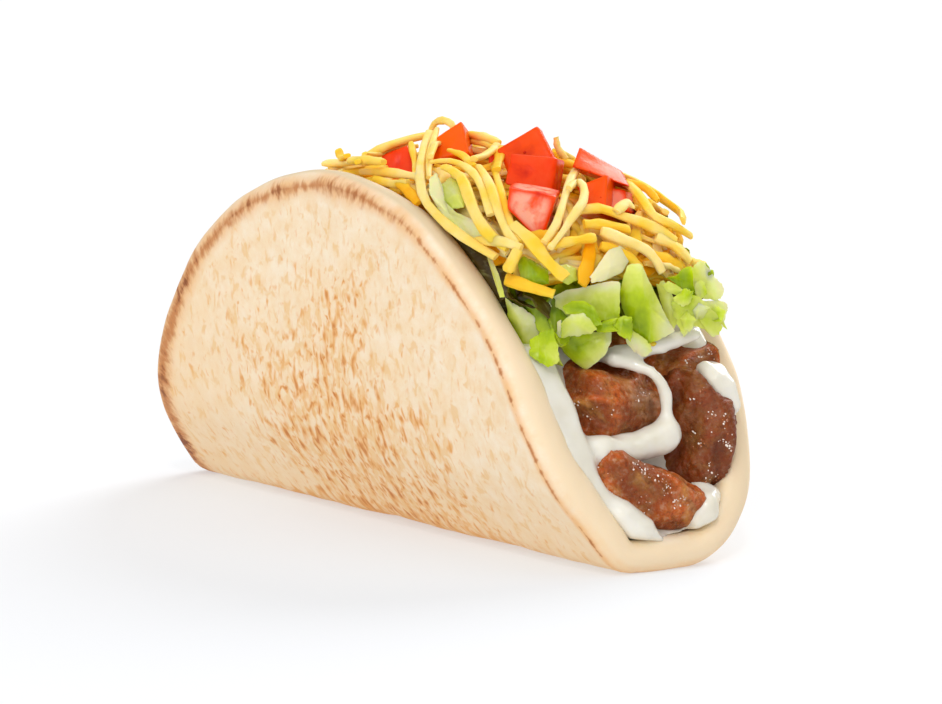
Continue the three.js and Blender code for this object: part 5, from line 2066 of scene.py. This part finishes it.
@dataclass
class Cheese:
    """The shredded cheese that covers the heap."""

    heap: Heap
    view: PhotoView
    cubes: tuple[TomatoCube, ...] = TOMATO_CUBES
    finish: GratedCheese = field(default_factory=GratedCheese)
    core_reach: Pair = (0.66, 0.78)
    core_depth: float = 5.0
    bed_depth: float = 4.4  # of the lowest shreds, which may lie in front of the tomato
    reach: Pair = (0.75, 0.83)
    layers: tuple[tuple[int, float, float], ...] = (
        (330, -4.4, -4.4), (230, -4.2, -2.4), (230, -2.6, -0.8), (190, -1.0, 0.6), (90, 0.4, 1.8),
        (30, 1.4, 2.6),
    )
    width: Pair = (1.4, 2.7)
    thickness: Pair = (0.9, 1.5)
    length: Pair = (13.0, 38.0)
    curl: float = 0.45  # how far the heading drifts at each step, in radians
    widest: float = 0.95
    under_shown: float = 1.8  # how much lower the shreds lie where the photograph shows its own
    lowest: float = -4.0
    joints: int = 8  # in the line of each shred
    tries: int = 14  # at a place for each shred, before it is left out
    clear_round: float = 1.5  # how far from a shown shred's line no other one may lie before it
    clear_behind: float = 0.8
    shown_width: float = 0.92  # of the width that is given for each shown shred
    seed: int = 19

    def build(self) -> Piece:
        """Model the shreds over a plain core and return the piece."""
        form = self.heap.core(self.core_reach, self.core_depth, 3.0)
        kind = form.verts.layers.float.new("kind")
        # The core takes the most orange kind: painted shade of the heap's depth between the shreds.
        for vert in form.verts:
            vert[kind] = 1.0
        shown_maker, maker = StripMaker(), StripMaker(6, 8)
        self._blocks = [cube.block(self.view) for cube in self.cubes]
        shown = [self._placed(shred) for shred in SHOWN_SHREDS]
        self._mark_shown(shown)
        for strip in shown:
            shown_maker.add(form, strip)
        for strip in self._scattered():
            maker.add(form, strip)
        return finished("cheese_shreds", form, self.finish.material(), Slot.CHEESE, ["cheese"], 70.0)

    def _scattered(self) -> Iterator[Strip]:
        """Yield shreds spread over the whole heap, layer on layer."""
        rng = random.Random(self.seed)
        for count, low, high in self.layers:
            for i in range(count):
                for _ in range(self.tries):
                    strip = self._random_strip(rng, (i + rng.random()) / count, low, high)
                    if strip is not None:
                        yield strip
                        break

    def _random_strip(self, rng: random.Random, share: float, low: float, high: float) -> Strip | None:
        """Draw one shred, which wanders over the heap.

        Args:
            rng: The source of chance.
            share: From 0 at the back mouth to 1 at the front mouth.
            low: The least lift of its middle over the heap.
            high: The most.

        Returns:
            The shred, or None if it would cross or hide a tomato cube or a shown shred.
        """
        w = rng.uniform(-1.0, 1.0)
        w = self.widest * math.copysign(abs(w) ** 0.7, w)
        middle = 2 * share - 1
        a = math.copysign(abs(middle) ** 1.2, middle) * (lerp(*self.reach, (w + 1) / 2) - 0.02)
        heading = rng.uniform(0, 2 * math.pi)
        turning = rng.gauss(0, self.curl)
        step = min(rng.uniform(*self.length), rng.uniform(*self.length) * 1.5) / (self.joints - 1)
        lift = rng.uniform(low, high)
        slope = rng.gauss(0, 0.12)
        line, out = [], []
        bed = low == -self.bed_depth
        half = (self.joints - 1) / 2
        for k in range(self.joints):
            t = (k - half) / half
            under = self.under_shown * eased(a, -0.55, -0.25) * eased(-w, -0.45, -0.1)
            under *= 1 - 0.6 * eased(a, 0.35, 0.55)
            away = self.heap.outward(a, w)
            rise = -self.bed_depth if bed else max(lift - under + slope * t * 4 + 0.5 * t * t, self.lowest)
            line.append(self.heap.fold.kept_inside(self.heap.point(a, w) + away * rise, 0.5))
            out.append(away)
            turning = 0.7 * turning + rng.gauss(0, self.curl * 0.5)
            heading += turning
            along, across = self.heap.worth(a, w)
            w += step * math.sin(heading) / across
            a += step * math.cos(heading) / along
            end = lerp(*self.reach, (w + 1) / 2)
            if abs(w) > self.widest:
                w, heading = math.copysign(2 * self.widest - abs(w), w), -heading
            if a > end:
                a, heading = 2 * end - a, math.pi - heading
            a = max(a, -0.9)
        halfway = [(one + two) / 2 for one, two in zip(line, line[1:])]
        if any(self._hides_tomato(point, bed) or self._hides_shown(point) for point in line + halfway):
            return None
        if any((two - one).length < 0.3 for one, two in zip(line, line[1:])):
            return None
        return Strip(
            tuple(line), tuple(out), rng.uniform(*self.width), rng.uniform(*self.thickness),
            twist=rng.uniform(-1.4, 1.4), roll=rng.uniform(-0.6, 0.6), taper=rng.uniform(0.1, 0.5),
            # Lower shreds are more orange: painted shade of the heap's depth.
            kind=clamp(rng.gauss(0.34, 0.22) + 0.14 * max(0.0, -lift), 0.0, 1.0),
        )

    def _hides_tomato(self, point: Vector, bed: bool) -> bool:
        """Tell whether a place is in a tomato cube or, above the bed, in front of it."""
        for cube, block in zip(self.cubes, self._blocks):
            if block.holds(point, 0.6):
                return True
            if bed:
                continue
            steps = range(1, 1 + int(cube.cleared / 2.5))
            if any(block.holds(point - self.view.back * 2.5 * step, -0.4) for step in steps):
                return True
        return False

    def _mark_shown(self, strips: Sequence[Strip]) -> None:
        """Note where the shreds and leaves that the photograph shows lie, as the camera sees them."""
        spots = [strip.place(0.0, 0.0, i / 24) for strip in strips for i in range(25)]
        for leaf in SHOWN_LEAVES:
            if leaf.on_heap:
                torn = leaf.torn(self.view, self.heap, 1)
                rim = [torn.on_edge(i / 24)[0] for i in range(24)]
                spots.extend(torn.middle[0].lerp(spot, part) for spot in rim for part in (0.3, 0.6, 0.9))
        self._shown_depths = [spot.dot(self.view.back) for spot in spots]
        self._shown = KDTree(len(spots))
        for i, spot in enumerate(spots):
            self._shown.insert(self._flattened(spot), i)
        self._shown.balance()

    def _flattened(self, point: Vector) -> Vector:
        """Return a place as the camera sees it, whatever its distance."""
        return point - self.view.back * point.dot(self.view.back)

    def _hides_shown(self, point: Vector) -> bool:
        """Tell whether a place comes between a shown shred or leaf and the camera."""
        depth = point.dot(self.view.back) + self.clear_behind
        near = self._shown.find_range(self._flattened(point), self.clear_round)
        return any(depth > self._shown_depths[i] for _, i, _ in near)

    def _placed(self, shred: ShownShred) -> Strip:
        """Lay a shred on the heap along points of the picture."""
        spots = [
            self.view.on_heap(self.heap, *place, shred.lift)
            if len(place) == 2
            else (self.view.at_y(*place), self.view.back)
            for place in shred.places
        ]
        rng = random.Random(int(shred.places[0][0]))
        return Strip(
            tuple(spot[0] for spot in spots),
            tuple(spot[1] for spot in spots),
            self.shown_width * shred.width,
            rng.uniform(*self.thickness),
            twist=rng.uniform(-0.6, 0.6),
            roll=rng.uniform(-0.2, 0.2),
            taper=0.2,
            kind=shred.kind,
        )


@dataclass
class Studio:
    """The pale floor, the soft light and the camera."""

    view: PhotoView
    floor_size: float = 14.0
    floor_glow: float = 0.48
    sky: float = 0.42
    suns: tuple[tuple[str, float, float, Point], ...] = (
        ("key", 2.0, 34.0, (-0.35, 0.8, 0.62)), ("fill", 1.15, 70.0, (0.4, -0.85, 0.55)),
        ("top", 0.6, 50.0, (0.25, 0.1, 1.0)), ("glint", 0.45, 5.0, (0.6, -0.45, 0.75)),
    )

    def build(self) -> None:
        """Make the floor, the lights and the camera."""
        self._floor()
        self._sky()
        for name, strength, angle, way in self.suns:
            self._sun(name, strength, angle, Vector(way))
        self._camera()

    def _floor(self) -> None:
        """Lay a plain white floor that glows a little, as a light table does."""
        form = bmesh.new()
        bmesh.ops.create_grid(form, x_segments=2, y_segments=2, size=self.floor_size / 2)
        mesh = bpy.data.meshes.new("floor")
        form.to_mesh(mesh)
        form.free()
        r = Recipe("white_floor")
        soft = r.noise(r.place(), 2.0, 1.0)
        colour = r.ramp(soft, [(0.0, (0.40, 0.41, 0.43, 1.0)), (1.0, (0.42, 0.43, 0.45, 1.0))])
        mesh.materials.append(
            r.finish(
                Base_Color=colour, Roughness=0.9, Specular_IOR_Level=0.1,
                Emission_Color=(1.0, 1.0, 1.0, 1.0), Emission_Strength=self.floor_glow,
            )
        )
        floor = bpy.data.objects.new("floor", mesh)
        bpy.context.scene.collection.objects.link(floor)

    def _sky(self) -> None:
        """Light everything evenly from all round."""
        world = bpy.data.worlds.new("studio")
        world.use_nodes = True
        background = world.node_tree.nodes["Background"]
        background.inputs["Color"].default_value = (1.0, 1.0, 1.0, 1.0)
        background.inputs["Strength"].default_value = self.sky
        bpy.context.scene.world = world

    def _sun(self, name: str, strength: float, angle: float, way: Vector) -> None:
        """Add a distant lamp.

        Args:
            name: Its name.
            strength: Its strength.
            angle: How broad it looks, in degrees.
            way: The direction from the taco to the lamp.
        """
        light = bpy.data.lights.new(name, "SUN")
        light.energy = strength
        light.angle = math.radians(angle)
        lamp = bpy.data.objects.new(name, light)
        lamp.rotation_mode = "QUATERNION"
        lamp.rotation_quaternion = way.to_track_quat("Z", "Y")
        bpy.context.scene.collection.objects.link(lamp)

    def _camera(self) -> None:
        """Place the camera as in the photograph."""
        data = bpy.data.cameras.new("camera")
        data.lens = self.view.lens
        data.sensor_width = self.view.sensor
        data.clip_end = 50.0
        camera = bpy.data.objects.new("camera", data)
        camera.location = self.view.eye * MM
        camera.rotation_euler = self.view.back.to_track_quat("Z", "Y").to_euler()
        scene = bpy.context.scene
        scene.collection.objects.link(camera)
        scene.camera = camera
        scene.view_settings.view_transform = "Standard"


def main() -> None:
    """Build the taco, piece by piece."""
    logging.basicConfig(level=logging.INFO, format="%(name)s %(message)s")
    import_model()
    fold = Fold()
    heap = Heap(fold)
    view = PhotoView()
    Studio(view).build()
    Flatbread(fold).build()
    SourCream(fold, view).build()
    Steak(fold, view).build()
    Lettuce(heap, view).build()
    Tomato(view).build()
    Cheese(heap, view).build()
    bpy.context.view_layer.update()


if __name__ == "__main__":
    main()
